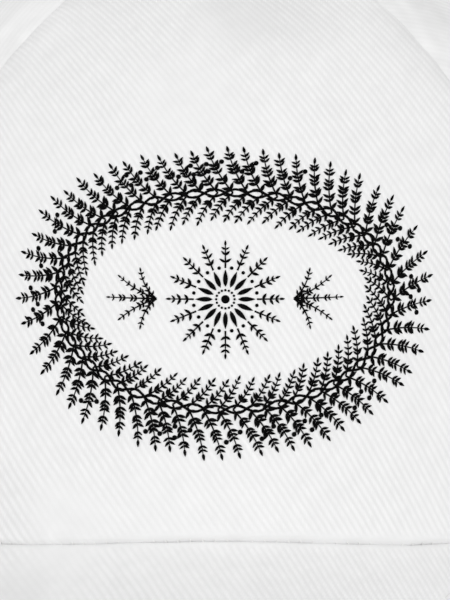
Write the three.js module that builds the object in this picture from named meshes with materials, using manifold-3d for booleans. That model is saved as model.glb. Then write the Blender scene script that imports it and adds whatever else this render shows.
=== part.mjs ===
// A five-panel cap in white cotton drill, standing on a table on its back rim and the two low sides of its peak.
// Millimetres, +Z up. The peak points along -Y, and left means the wearer's left, which is +X.
// The cap is built round the crown's own axis and moved at the end, so that the origin is under its middle.
import * as THREE from "three";
import { mergeVertices } from "three/addons/utils/BufferGeometryUtils.js";
import Module from "manifold-3d";

const wasm = await Module();
wasm.setup();

const radians = THREE.MathUtils.degToRad;

// The crown's outer size. The rim is two half ellipses that share their width, about 585 mm round outside.
const CROWN_HALF_WIDTH = 87;
const CROWN_FRONT_REACH = 98;
const CROWN_BACK_REACH = 100;
const CROWN_HEIGHT = 130;
// The exponent of the crown's curve from rim to top: 2 is a plain ellipse, more is a fuller shoulder.
const FRONT_FULLNESS = 2.05;
const SIDE_FULLNESS = 2.4;
const BACK_FULLNESS = 2.12;

// Seams, as angles from the front of the cap.
const FRONT_SEAM = radians(51);
const SIDE_SEAM = radians(116);
const BACK_SEAM = radians(180);
const SEAM_GAP = 0.35;
const TOP_HOLE_RADIUS = 6;

// Cloth and what backs it.
const CLEARANCE = 0.35;
const PANEL_THICKNESS = 1.2;
const LINING_THICKNESS = 0.8;
const TAPE_THICKNESS = 0.8;
const TAPE_HALF_WIDTH = 5.5;
const TAPE_TOP_RADIUS = 12;
const TAPE_END_GAP = 1.5;
const LINING_TOP_RADIUS = 13.5;
const LINING_DEPTH = PANEL_THICKNESS + CLEARANCE;
const BAND_DEPTH = LINING_DEPTH + LINING_THICKNESS + CLEARANCE;

// The peak: a stiff sheet arched from side to side and sloped down to the front.
const PEAK_LENGTH = 70;
const PEAK_HALF_WIDTH = 88;
const PEAK_WIDEST_BACK = 36;
const PEAK_THICKNESS = 3;
const PEAK_SLOPE = Math.tan(radians(12));
const PEAK_ARCH = 1.02;
const ARCH_CREST = 34;
const ARCH_SPREAD = 1.67;
const PEAK_ROOT = radians(62);
const PEAK_CORNER = radians(97);
// From this share of the edge on, the peak's outline turns back to the rim in a round corner.
const CORNER_SHARE = 0.8;
const CORNER_RADIUS = 9;
const CORNER_TURN = radians(66);

// The rim comes down from the peak's corner and lies on the table from this angle to the back.
const RIM_DOWN = radians(150);

// The opening at the back and what closes it.
const OPENING_HALF_WIDTH = 40;
const OPENING_HEIGHT = 56;
const OPENING_FULLNESS = 2.4;
const BINDING_WIDTH = 8;
const BINDING_FOOT = 23;
const STRAP_WIDTH = 20;
const STRAP_THICKNESS = 0.8;
const STRAP_SEWN = radians(149);
const STRAP_LAP = radians(10);
const STRAP_RAMP_GAP = radians(0.7);
const STRAP_RAMP = radians(10);
const RIM_CLEAR = 1;

const BAND_HEIGHT = 31;
const BAND_THICKNESS = 1.4;
const BAND_END = radians(154.5);

const BUTTON_RADIUS = 7.5;
const BUTTON_HEIGHT = 4.6;
const BUTTON_GAP = 0.2;
// The exponents of the button's side view, a little flatter than a round dome.
const DOME_WIDTH_POWER = 0.75;
const DOME_HEIGHT_POWER = 0.85;
const STEM_RADIUS = 2.2;
const BACKING_RADIUS = 9;
const BACKING_THICKNESS = 1;

const EYELET_HOLE = 2.4;
const EYELET_INNER = 2.1;
const EYELET_OUTER = 4.9;
const EYELET_HEIGHT = 1;
const EYELET_RISE = 0.47;

const cloth = (name, color, roughness = 0.92) =>
  new THREE.MeshStandardMaterial({ name, color, roughness, metalness: 0 });
const drill = cloth("drill", 0xf1f1ef);
const lining = cloth("lining", 0xf4f4f2, 0.96);
const tape = cloth("tape", 0xeeeeec);
const band = cloth("band", 0xefefec, 0.95);
const thread = cloth("thread", 0xf6f6f4, 0.7);
const hook = cloth("hook", 0xe9e9e6, 0.85);

const mix = THREE.MathUtils.lerp;
const smooth = THREE.MathUtils.smoothstep;

// The rim's distance from the crown's axis at an angle from the front.
function planRadius(angle) {
  const reach = Math.cos(angle) > 0 ? CROWN_FRONT_REACH : CROWN_BACK_REACH;
  return 1 / Math.hypot(Math.sin(angle) / CROWN_HALF_WIDTH, Math.cos(angle) / reach);
}

function fullness(angle) {
  const end = Math.cos(angle) > 0 ? FRONT_FULLNESS : BACK_FULLNESS;
  return mix(SIDE_FULLNESS, end, Math.cos(angle) ** 2);
}

// How far the peak's sheet has dropped at x from its crest: round on top, straight at the sides.
function archDrop(x) {
  return PEAK_ARCH * (Math.hypot(ARCH_CREST, x / ARCH_SPREAD) - ARCH_CREST);
}

// Where the peak's free edge is, for a share from -1 at one end to 1 at the other: half an ellipse and two round
// corners, which start in the direction that the ellipse faces.
function peakEdge(share) {
  const depth = PEAK_LENGTH + PEAK_WIDEST_BACK;
  const along = Math.abs(share);
  const turn = Math.min(along / CORNER_SHARE, 1) * PEAK_CORNER;
  const facing = Math.atan2(-PEAK_HALF_WIDTH * Math.cos(turn), depth * Math.sin(turn));
  const turned = facing + (Math.max(along - CORNER_SHARE, 0) / (1 - CORNER_SHARE)) * CORNER_TURN;
  const x = PEAK_HALF_WIDTH * Math.sin(turn) + CORNER_RADIUS * (Math.cos(turned) - Math.cos(facing));
  const y = PEAK_WIDEST_BACK - CROWN_FRONT_REACH - depth * Math.cos(turn);
  return [Math.sign(share) * x, y + CORNER_RADIUS * (Math.sin(turned) - Math.sin(facing))];
}

function peakDrop(x, y) {
  return archDrop(x) + PEAK_SLOPE * (-CROWN_FRONT_REACH - y);
}

// The crest stands as high as lets the lowest part of the free edge touch the table.
const EDGE_SAMPLES = 200;
let deepest = 0;
for (let i = 0; i <= EDGE_SAMPLES; i += 1)
  deepest = Math.max(deepest, peakDrop(...peakEdge(i / EDGE_SAMPLES)));
const CREST_HEIGHT = PEAK_THICKNESS + deepest;

function peakTop(x, y) {
  return CREST_HEIGHT - peakDrop(x, y);
}

function rimUnderPeak(angle) {
  const r = planRadius(angle);
  return peakTop(r * Math.sin(angle), -r * Math.cos(angle)) - PEAK_THICKNESS;
}

// The crown's lower edge: along the peak's underside at the front, then down to the table in one smooth curve.
const SLOPE_STEP = 1e-4;
const rootHeight = rimUnderPeak(PEAK_ROOT);
const rootSlope = (rimUnderPeak(PEAK_ROOT) - rimUnderPeak(PEAK_ROOT - SLOPE_STEP)) / SLOPE_STEP;
function rimHeight(signedAngle) {
  const angle = Math.abs(signedAngle) > Math.PI ? 2 * Math.PI - Math.abs(signedAngle) : Math.abs(signedAngle);
  if (angle < PEAK_ROOT) return rimUnderPeak(angle);
  const span = RIM_DOWN - PEAK_ROOT;
  const s = Math.min((angle - PEAK_ROOT) / span, 1);
  return rootHeight * (1 + s * s * (2 * s - 3)) + rootSlope * span * s * (1 - s) * (1 - s);
}

// The outer surface at an angle and a rise, which is 0 at the rim and 1 at the top of the crown.
function outerPoint(angle, rise) {
  const power = 2 / fullness(angle);
  const turn = THREE.MathUtils.clamp(rise, 0, 1) * (Math.PI / 2);
  const r = planRadius(angle) * Math.cos(turn) ** power;
  const rim = rimHeight(angle);
  const z = rim + (CROWN_HEIGHT - rim) * Math.sin(turn) ** power;
  return new THREE.Vector3(r * Math.sin(angle), -r * Math.cos(angle), z);
}

const NORMAL_STEP = 1e-3;
function outwardNormal(angle, rise) {
  const at = THREE.MathUtils.clamp(rise, 2 * NORMAL_STEP, 1 - 2 * NORMAL_STEP);
  const across = outerPoint(angle + NORMAL_STEP, at).sub(outerPoint(angle - NORMAL_STEP, at));
  const up = outerPoint(angle, at + NORMAL_STEP).sub(outerPoint(angle, at - NORMAL_STEP));
  return across.cross(up).normalize();
}

// A point that lies a depth inside the crown's outer surface.
function crownPoint(angle, rise, depth) {
  return outerPoint(angle, rise).addScaledVector(outwardNormal(angle, rise), -depth);
}

// The rise at which the surface has come in to a radius, or up to a height over the rim.
function riseAtRadius(angle, radius) {
  return Math.acos((radius / planRadius(angle)) ** (fullness(angle) / 2)) / (Math.PI / 2);
}

function riseAtHeight(angle, height) {
  const share = height / (CROWN_HEIGHT - rimHeight(angle));
  return Math.asin(share ** (fullness(angle) / 2)) / (Math.PI / 2);
}

function radiusAt(angle, rise) {
  return planRadius(angle) * Math.cos(rise * (Math.PI / 2)) ** (2 / fullness(angle));
}

// A box of unit size, cut into steps, whose every point is carried to place(u, v, w), each from 0 to 1.
function bentBox(across, up, place) {
  const box = new THREE.BoxGeometry(1, 1, 1, across, up, 1);
  const spots = box.getAttribute("position");
  for (let i = 0; i < spots.count; i += 1) {
    const p = place(spots.getX(i) + 0.5, spots.getY(i) + 0.5, spots.getZ(i) + 0.5);
    spots.setXYZ(i, p.x, p.y, p.z);
  }
  box.computeVertexNormals();
  return box;
}

function toSolid(geometry) {
  const bare = new THREE.BufferGeometry();
  bare.setAttribute("position", geometry.getAttribute("position").clone());
  if (geometry.index) bare.setIndex(geometry.index);
  const merged = mergeVertices(bare, 1e-4);
  return new wasm.Manifold(
    new wasm.Mesh({
      numProp: 3,
      vertProperties: new Float32Array(merged.getAttribute("position").array),
      triVerts: new Uint32Array(merged.index.array),
    }),
  );
}

function toGeometry(solid) {
  const mesh = solid.getMesh();
  const geometry = new THREE.BufferGeometry();
  geometry.setAttribute("position", new THREE.BufferAttribute(new Float32Array(mesh.vertProperties), 3));
  geometry.setIndex(new THREE.BufferAttribute(new Uint32Array(mesh.triVerts), 1));
  geometry.computeVertexNormals();
  return geometry;
}

const cap = new THREE.Group();
function add(name, geometry, material) {
  const mesh = new THREE.Mesh(geometry, material);
  mesh.name = name;
  cap.add(mesh);
  return mesh;
}

// One panel of the crown between two seams, up to the small hole that the button covers.
function panelShell(from, to, across, up) {
  return bentBox(across, up, (u, v, w) => {
    const whole = mix(from, to, u);
    const rise = v * riseAtRadius(whole, TOP_HOLE_RADIUS);
    const start = from + SEAM_GAP / 2 / radiusAt(from, rise);
    const end = to - SEAM_GAP / 2 / radiusAt(to, rise);
    return crownPoint(mix(start, end, u), rise, (1 - w) * PANEL_THICKNESS);
  });
}

// The arch of the back opening, seen from behind, grown outwards by a margin. turn runs from 0 to half a circle.
function archPoint(turn, margin) {
  const power = 2 / OPENING_FULLNESS;
  return [
    (OPENING_HALF_WIDTH + margin) * Math.sign(Math.cos(turn)) * Math.abs(Math.cos(turn)) ** power,
    (OPENING_HEIGHT + margin) * Math.sin(turn) ** power,
  ];
}

const CUT_BELOW = 5;
const CUT_NEAR = 60;
const CUT_FAR = 110;
const ARCH_STEPS = 36;
function openingCutter() {
  const outline = new THREE.Shape();
  outline.moveTo(-OPENING_HALF_WIDTH, -CUT_BELOW);
  outline.lineTo(OPENING_HALF_WIDTH, -CUT_BELOW);
  for (let i = 0; i <= ARCH_STEPS; i += 1) outline.lineTo(...archPoint((i / ARCH_STEPS) * Math.PI, 0));
  const prism = new THREE.ExtrudeGeometry(outline, { depth: CUT_FAR - CUT_NEAR, bevelEnabled: false });
  prism.rotateX(Math.PI / 2);
  prism.translate(0, CUT_FAR, 0);
  return toSolid(prism);
}

// Where an eyelet sits on a panel that is centred on an angle.
function eyeletSeat(angle) {
  return { at: outerPoint(angle, EYELET_RISE), out: outwardNormal(angle, EYELET_RISE) };
}

const HOLE_SIDES = 20;
const HOLE_LENGTH = 12;
function eyeletCutter(angle) {
  const { at, out } = eyeletSeat(angle);
  const drillBit = new THREE.CylinderGeometry(EYELET_HOLE, EYELET_HOLE, HOLE_LENGTH, HOLE_SIDES);
  drillBit.applyQuaternion(new THREE.Quaternion().setFromUnitVectors(new THREE.Vector3(0, 1, 0), out));
  drillBit.translate(at.x, at.y, at.z);
  return toSolid(drillBit);
}

// The stitched ring round an eyelet: a low round-backed ring that stands on the cloth.
function eyeletRing() {
  const middle = (EYELET_INNER + EYELET_OUTER) / 2;
  const half = (EYELET_OUTER - EYELET_INNER) / 2;
  const profile = [];
  const ARC_STEPS = 5;
  for (let i = 0; i <= ARC_STEPS; i += 1) {
    const turn = (i / ARC_STEPS) * Math.PI;
    profile.push(new THREE.Vector2(middle + half * Math.cos(turn), EYELET_HEIGHT * Math.sin(turn)));
  }
  profile.push(profile[0].clone());
  return new THREE.LatheGeometry(profile, 24);
}

const SIDE_MIDDLE = (FRONT_SEAM + SIDE_SEAM) / 2;
const BACK_MIDDLE = (SIDE_SEAM + BACK_SEAM) / 2;

function addPanels() {
  add("front_panel", panelShell(-FRONT_SEAM, FRONT_SEAM, 26, 18), drill);
  const opening = openingCutter();
  for (const [side, sign] of [["left", 1], ["right", -1]]) {
    const span = (a, b) => (sign > 0 ? [a, b] : [-b, -a]);
    const sidePanel = toSolid(panelShell(...span(FRONT_SEAM, SIDE_SEAM), 15, 16));
    add(`side_panel_${side}`, toGeometry(sidePanel.subtract(eyeletCutter(sign * SIDE_MIDDLE))), drill);
    const backPanel = toSolid(panelShell(...span(SIDE_SEAM, BACK_SEAM), 15, 16));
    const cut = backPanel.subtract(eyeletCutter(sign * BACK_MIDDLE)).subtract(opening);
    add(`back_panel_${side}`, toGeometry(cut), drill);
  }
}

// The stiffening behind the front panel, which stops short of the seam tapes.
function addLining() {
  const margin = TAPE_HALF_WIDTH + CLEARANCE;
  const shell = bentBox(18, 14, (u, v, w) => {
    const whole = mix(-FRONT_SEAM, FRONT_SEAM, u);
    const low = riseAtHeight(whole, RIM_CLEAR);
    const rise = mix(low, riseAtRadius(whole, LINING_TOP_RADIUS), v);
    const edge = FRONT_SEAM - margin / radiusAt(FRONT_SEAM, rise);
    return crownPoint(mix(-edge, edge, u), rise, LINING_DEPTH + (1 - w) * LINING_THICKNESS);
  });
  add("front_lining", shell, lining);
}

// A tape over the inside of each seam, from just above the rim, or from a stated height, to the button's backing.
function seamTape(angle, startHeight) {
  return bentBox(1, 16, (u, v, w) => {
    const rise = mix(riseAtHeight(angle, startHeight), riseAtRadius(angle, TAPE_TOP_RADIUS), v);
    const half = TAPE_HALF_WIDTH / radiusAt(angle, rise);
    return crownPoint(angle + mix(-half, half, u), rise, LINING_DEPTH + (1 - w) * TAPE_THICKNESS);
  });
}

function addSeamTapes() {
  const aboveOpening = OPENING_HEIGHT + BINDING_WIDTH + TAPE_END_GAP;
  for (const [side, sign] of [["left", 1], ["right", -1]]) {
    add(`seam_tape_front_${side}`, seamTape(sign * FRONT_SEAM, RIM_CLEAR), tape);
    add(`seam_tape_side_${side}`, seamTape(sign * SIDE_SEAM, RIM_CLEAR), tape);
  }
  add("seam_tape_back", seamTape(BACK_SEAM, aboveOpening), tape);
}

// The angle at which the back of the crown has a given x at a given height.
function backAngle(x, height) {
  let angle = Math.PI;
  const ROUNDS = 12;
  for (let i = 0; i < ROUNDS; i += 1)
    angle = Math.PI - Math.asin(x / radiusAt(angle, riseAtHeight(angle, height)));
  return angle;
}

// The tape that binds the opening's arch on the inside.
function addOpeningBinding() {
  const foot = Math.asin((BINDING_FOOT / OPENING_HEIGHT) ** (OPENING_FULLNESS / 2));
  const strip = bentBox(28, 1, (u, v, w) => {
    const turn = mix(foot, Math.PI - foot, u);
    const [x, z] = archPoint(turn, v * BINDING_WIDTH);
    const angle = backAngle(x, z);
    return crownPoint(angle, riseAtHeight(angle, z), LINING_DEPTH + (1 - w) * TAPE_THICKNESS);
  });
  add("opening_binding", strip, tape);
}

// The folded band that goes round the head, inside the rim, from one side of the opening to the other.
function addSweatband() {
  const ring = bentBox(56, 2, (u, v, w) => {
    const angle = mix(-BAND_END, BAND_END, u);
    const rise = riseAtHeight(angle, mix(RIM_CLEAR, BAND_HEIGHT, v));
    return crownPoint(angle, rise, BAND_DEPTH + (1 - w) * BAND_THICKNESS);
  });
  add("sweatband", ring, band);
}

// Two tabs that close the opening: the left one laps over the outside of the right one.
function strapTab(from, to, depthAt) {
  return bentBox(18, 2, (u, v, w) => {
    const angle = mix(from, to, u);
    const rise = riseAtHeight(angle, mix(RIM_CLEAR, RIM_CLEAR + STRAP_WIDTH, v));
    return crownPoint(angle, rise, depthAt(angle) + (1 - w) * STRAP_THICKNESS);
  });
}

function addStraps() {
  const under = STRAP_THICKNESS + CLEARANCE;
  add("strap_left", strapTab(STRAP_SEWN, Math.PI + STRAP_LAP, () => LINING_DEPTH), drill);
  const rampStart = Math.PI + STRAP_LAP + STRAP_RAMP_GAP;
  const depthAt = (angle) => LINING_DEPTH + under * (1 - smooth(angle, rampStart, rampStart + STRAP_RAMP));
  add("strap_right", strapTab(Math.PI - STRAP_LAP, 2 * Math.PI - STRAP_SEWN, depthAt), hook);
}

// The peak is carried from box to place so that u runs across, v forwards and w down.
function addPeak() {
  const sheet = bentBox(40, 8, (u, v, w) => {
    const share = 2 * u - 1;
    const r = planRadius(share * PEAK_ROOT) + CLEARANCE;
    const [edgeX, edgeY] = peakEdge(share);
    const x = mix(r * Math.sin(share * PEAK_ROOT), edgeX, v);
    const y = mix(-r * Math.cos(share * PEAK_ROOT), edgeY, v);
    return new THREE.Vector3(x, y, peakTop(x, y) - w * PEAK_THICKNESS);
  });
  add("visor", sheet, drill);
}

// The covered button over the panels' meeting point, and the disc that it is riveted to inside.
function addButton() {
  const seat = CROWN_HEIGHT + BUTTON_GAP;
  const stemFoot = CROWN_HEIGHT - PANEL_THICKNESS - CLEARANCE;
  const profile = [new THREE.Vector2(0, stemFoot), new THREE.Vector2(STEM_RADIUS, stemFoot)];
  profile.push(new THREE.Vector2(STEM_RADIUS, seat), new THREE.Vector2(BUTTON_RADIUS, seat));
  const DOME_STEPS = 7;
  for (let i = 1; i <= DOME_STEPS; i += 1) {
    const turn = (i / DOME_STEPS) * (Math.PI / 2);
    const r = i === DOME_STEPS ? 0 : BUTTON_RADIUS * Math.cos(turn) ** DOME_WIDTH_POWER;
    profile.push(new THREE.Vector2(r, seat + BUTTON_HEIGHT * Math.sin(turn) ** DOME_HEIGHT_POWER));
  }
  const button = new THREE.LatheGeometry(profile, 32);
  button.rotateX(Math.PI / 2);
  add("top_button", button, drill);

  const backing = new THREE.CylinderGeometry(BACKING_RADIUS, BACKING_RADIUS, BACKING_THICKNESS, 32);
  backing.rotateX(Math.PI / 2);
  backing.translate(0, 0, stemFoot - CLEARANCE - BACKING_THICKNESS / 2);
  add("button_backing", backing, tape);
}

function addEyelets() {
  const up = new THREE.Vector3(0, 1, 0);
  for (const [side, sign] of [["left", 1], ["right", -1]])
    for (const [place, angle] of [["side", SIDE_MIDDLE], ["back", BACK_MIDDLE]]) {
      const { at, out } = eyeletSeat(sign * angle);
      const ring = add(`eyelet_${place}_${side}`, eyeletRing(), thread);
      ring.quaternion.setFromUnitVectors(up, out);
      ring.position.copy(at).addScaledVector(out, CLEARANCE);
    }
}

addPanels();
addLining();
addSeamTapes();
addOpeningBinding();
addSweatband();
addStraps();
addPeak();
addButton();
addEyelets();

// The origin goes under the middle of the whole cap, at the height of the table.
cap.updateMatrixWorld(true);
const bounds = new THREE.Box3().setFromObject(cap, true);
const middle = bounds.getCenter(new THREE.Vector3());
cap.position.set(-middle.x, -middle.y, -bounds.min.z);

export default cap;
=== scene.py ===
# %% [markdown]
# # A white cotton cap with a printed front
#
# The cap is a shell of five gores of cotton drill, a stiff peak, a band inside the rim and a strap across
# a half-moon opening at the back. The solids of the frame already have its true sizes. This lesson puts
# cloth on them: finer surfaces with the roll and pucker of real seams, thread, a print, and a weave that
# follows each piece's own grain.
#
# Everything is in metres, with +Z up. The peak points along -Y, and +X is the wearer's left.

# %% Load the frame
import random
from bisect import bisect_right
from functools import partial
from math import (
    acos, asin, atan, atan2, copysign, cos, exp, hypot, pi, radians, remainder, sin, sqrt, tan, tau
)

import bmesh
import bpy
from mathutils import Euler, Matrix, Vector, kdtree, noise


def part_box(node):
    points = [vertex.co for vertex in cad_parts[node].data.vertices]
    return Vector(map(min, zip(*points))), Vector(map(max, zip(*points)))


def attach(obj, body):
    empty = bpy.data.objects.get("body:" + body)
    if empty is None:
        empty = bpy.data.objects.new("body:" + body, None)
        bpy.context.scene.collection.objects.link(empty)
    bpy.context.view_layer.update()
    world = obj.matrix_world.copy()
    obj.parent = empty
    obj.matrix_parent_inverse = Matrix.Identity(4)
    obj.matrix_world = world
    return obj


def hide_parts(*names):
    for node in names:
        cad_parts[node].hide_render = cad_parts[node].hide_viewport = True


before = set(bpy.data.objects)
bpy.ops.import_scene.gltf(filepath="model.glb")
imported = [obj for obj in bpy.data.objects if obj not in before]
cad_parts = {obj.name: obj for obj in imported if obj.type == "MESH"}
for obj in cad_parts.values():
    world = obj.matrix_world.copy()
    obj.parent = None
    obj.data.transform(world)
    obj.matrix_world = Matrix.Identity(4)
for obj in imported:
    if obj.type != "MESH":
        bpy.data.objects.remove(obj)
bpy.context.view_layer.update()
MM = 0.001
button_low, button_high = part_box("top_button")
AXIS_Y = (button_low.y + button_high.y) / 2
print("crown axis at y =", round(AXIS_Y, 4))

# %% [markdown]
# ## The form of the crown
#
# A cap's rim is close to two half ellipses that share their width, and each way up from the rim is a
# superellipse: nearly a plain ellipse at the front and the back, and fuller over the temples. Writing
# that as one function of an angle round the head and a rise from rim to top lets every later piece, down
# to a stitch, ask for a point on the surface and the way it faces. A sculpted mesh would need each of
# them to be fitted by hand.

# %% Sizes of the crown and the peak
HALF_WIDTH = 87 * MM
FRONT_REACH = 98 * MM
BACK_REACH = 100 * MM
CROWN_HEIGHT = 130 * MM
FRONT_FULLNESS = 2.05
SIDE_FULLNESS = 2.4
BACK_FULLNESS = 2.12

FRONT_SEAM = radians(51)
SIDE_SEAM = radians(116)
BACK_SEAM = pi

PEAK_LENGTH = 70 * MM
PEAK_HALF_WIDTH = 88 * MM
PEAK_WIDEST_BACK = 36 * MM
PEAK_THICKNESS = 3 * MM
PEAK_SLOPE = tan(radians(12))
PEAK_ARCH = 1.02
ARCH_CREST = 34 * MM
ARCH_SPREAD = 1.67
PEAK_ROOT = radians(62)
PEAK_CORNER = radians(97)
CORNER_SHARE = 0.8
CORNER_RADIUS = 9 * MM
CORNER_TURN = radians(66)
RIM_DOWN = radians(150)
CREST_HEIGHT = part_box("visor")[1].z
print("crest of the peak at z =", round(CREST_HEIGHT, 4))


# %% The rim and the peak's slope as functions
def clamp(value, low=0.0, high=1.0):
    return min(max(value, low), high)


def mix(a, b, share):
    return a + (b - a) * share


def smooth(value, low, high):
    share = clamp((value - low) / (high - low))
    return share * share * (3 - 2 * share)


def plan_radius(angle):
    """The rim's distance from the crown's axis."""
    reach = FRONT_REACH if cos(angle) > 0 else BACK_REACH
    return 1 / hypot(sin(angle) / HALF_WIDTH, cos(angle) / reach)


def fullness(angle):
    end = FRONT_FULLNESS if cos(angle) > 0 else BACK_FULLNESS
    return mix(SIDE_FULLNESS, end, cos(angle) ** 2)


def peak_top(x, forward):
    """The height of the peak's upper cloth at x and at a distance in front of the crown's axis."""
    arch = PEAK_ARCH * (hypot(ARCH_CREST, x / ARCH_SPREAD) - ARCH_CREST)
    return CREST_HEIGHT - arch - PEAK_SLOPE * (forward - FRONT_REACH)


def rim_under_peak(angle):
    r = plan_radius(angle)
    return peak_top(r * sin(angle), r * cos(angle)) - PEAK_THICKNESS


SLOPE_STEP = 1e-4
ROOT_HEIGHT = rim_under_peak(PEAK_ROOT)
ROOT_SLOPE = (ROOT_HEIGHT - rim_under_peak(PEAK_ROOT - SLOPE_STEP)) / SLOPE_STEP


def rim_height(angle):
    """The crown's lower edge: under the peak in front, and from its corner down to the table."""
    angle = abs(remainder(angle, tau))
    if angle < PEAK_ROOT:
        return rim_under_peak(angle)
    span = RIM_DOWN - PEAK_ROOT
    s = clamp((angle - PEAK_ROOT) / span)
    return ROOT_HEIGHT * (1 + s * s * (2 * s - 3)) + ROOT_SLOPE * span * s * (1 - s) ** 2


print("rim height in front and at the side:", round(rim_height(0), 4), round(rim_height(pi / 2), 4))


# %% The crown as a function
def radius_at(angle, rise):
    return plan_radius(angle) * cos(rise * pi / 2) ** (2 / fullness(angle))


def crown(angle, rise):
    """A point of the crown's outer surface: rise is 0 at the rim and 1 at the top."""
    power = 2 / fullness(angle)
    turn = clamp(rise) * pi / 2
    r = plan_radius(angle) * cos(turn) ** power
    rim = rim_height(angle)
    z = rim + (CROWN_HEIGHT - rim) * sin(turn) ** power
    return Vector((r * sin(angle), AXIS_Y - r * cos(angle), z))


NORMAL_STEP = 1e-3


def crown_normal(angle, rise):
    at = clamp(rise, 2 * NORMAL_STEP, 1 - 2 * NORMAL_STEP)
    across = crown(angle + NORMAL_STEP, at) - crown(angle - NORMAL_STEP, at)
    up = crown(angle, at + NORMAL_STEP) - crown(angle, at - NORMAL_STEP)
    return across.cross(up).normalized()


def rise_at_radius(angle, radius):
    return acos((radius / plan_radius(angle)) ** (fullness(angle) / 2)) * 2 / pi


def rise_at_height(angle, above_rim):
    share = clamp(above_rim / (CROWN_HEIGHT - rim_height(angle)))
    return asin(share ** (fullness(angle) / 2)) * 2 / pi


front_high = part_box("front_panel")[1]
print("top of the front panel, frame and function:", round(front_high.z, 4), round(crown(0, 0.95).z, 4))

# %% [markdown]
# ## The camera
#
# The photograph is a close view from a little above the peak, nearly straight on. The place where a known
# point of the front panel lands in the frame, and the scale there, were worked out from the two curved
# seams and the peak's seam. The camera stands at its distance in that direction, looks at the point, and
# then turns the small angles that bring the point to its pixel. Turning is better than shifting the lens
# here, as other views reuse this camera.

# %% Stand the camera
PHOTO_SIZE = (450, 600)
AIM_PIXEL = (221.3, 399.1)
AIM_POINT = Vector((0, AXIS_Y - FRONT_REACH, CREST_HEIGHT + 30 * MM))
CAMERA_DISTANCE = 0.7
CAMERA_ELEVATION = radians(21)
PIXELS_PER_METRE = 5147
SENSOR = 36
NEAREST_SEEN = 0.01


def add_to_scene(name, data):
    """A new object in the scene for a mesh, a light or a camera."""
    thing = bpy.data.objects.new(name, data)
    bpy.context.scene.collection.objects.link(thing)
    return thing


focal_pixels = PIXELS_PER_METRE * CAMERA_DISTANCE
camera_data = bpy.data.cameras.new("camera")
camera_data.sensor_width = SENSOR
camera_data.lens = focal_pixels * SENSOR / max(PHOTO_SIZE)
camera_data.clip_start = NEAREST_SEEN
camera = add_to_scene("camera", camera_data)
away = Vector((0, -cos(CAMERA_ELEVATION), sin(CAMERA_ELEVATION)))
camera.location = AIM_POINT + CAMERA_DISTANCE * away
looking = (-away).to_track_quat("-Z", "Y")
swing, tilt = (atan((AIM_PIXEL[i] - PHOTO_SIZE[i] / 2) / focal_pixels) for i in (0, 1))
camera.rotation_euler = (looking @ Euler((tilt, swing, 0)).to_quaternion()).to_euler()
bpy.context.scene.camera = camera
print("lens", round(camera_data.lens, 1), "mm")

# %% [markdown]
# ## Helpers for node trees
#
# A weave is arithmetic on the cloth's own coordinates, so the materials need many small math nodes. A few
# helpers add a node and link or set its inputs, which keeps each material short enough to read as a
# formula.

# %% Node helpers
def put(tree, kind, *inputs, **settings):
    """Adds a node. Inputs are sockets to link or values to set, in order, and None leaves one alone."""
    node = tree.nodes.new(kind)
    for name, value in settings.items():
        setattr(node, name, value)
    for socket, value in zip(node.inputs, inputs):
        if isinstance(value, bpy.types.NodeSocket):
            tree.links.new(value, socket)
        elif value is not None:
            socket.default_value = value
    return node


def tune(node, values):
    """Sets inputs of a node by name."""
    for name, value in values.items():
        node.inputs[name].default_value = value
    return node


def calc(tree, operation, *inputs):
    return put(tree, "ShaderNodeMath", *inputs, operation=operation).outputs[0]


def noise_at(tree, place, scale, detail=2, roughness=0.5, **settings):
    cloud = put(tree, "ShaderNodeTexNoise", place, **settings)
    return tune(cloud, {"Scale": scale, "Detail": detail, "Roughness": roughness}).outputs[0]


def new_group(name, inputs, output):
    """A node group with float inputs after its Cloth, and its input sockets and output socket."""
    group = bpy.data.node_groups.new(name, "ShaderNodeTree")
    group.interface.new_socket("Cloth", in_out="INPUT", socket_type="NodeSocketVector")
    for label in inputs:
        group.interface.new_socket(label, in_out="INPUT", socket_type="NodeSocketFloat")
    group.interface.new_socket(output, in_out="OUTPUT", socket_type="NodeSocketFloat")
    return group, group.nodes.new("NodeGroupInput").outputs, group.nodes.new("NodeGroupOutput").inputs[output]


# %% [markdown]
# ## Twill, as a formula
#
# Drill is a twill: each lengthwise yarn floats over three crosswise ones and dives under the fourth, and
# its neighbour does the same one step lower. The steps line up as the diagonal ribs that the eye sees.
# The group below counts yarns across and picks along, finds how far along its float a point is, and adds
# the rib that the floats form together. A wander bends the rows slightly and a slub makes yarns uneven,
# because a ruler-straight weave looks printed. Where the cloth is ironed, all of it sinks towards one
# height and the ribs fade.

# %% Group: twill
FLOAT_PICKS = 4
FLOAT_SHARE = 0.8
RIB_OFFSET = 0.525
IRONED_HEIGHT = 0.48
YARN_HEIGHT = 0.5
WANDER_SCALE = 45
WANDER_YARNS = 2.6
SLUB_ACROSS = 0.41
SLUB_ALONG = 0.2
SLUB_GAIN = 1.5
SLUB_BASE = -0.1


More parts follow.
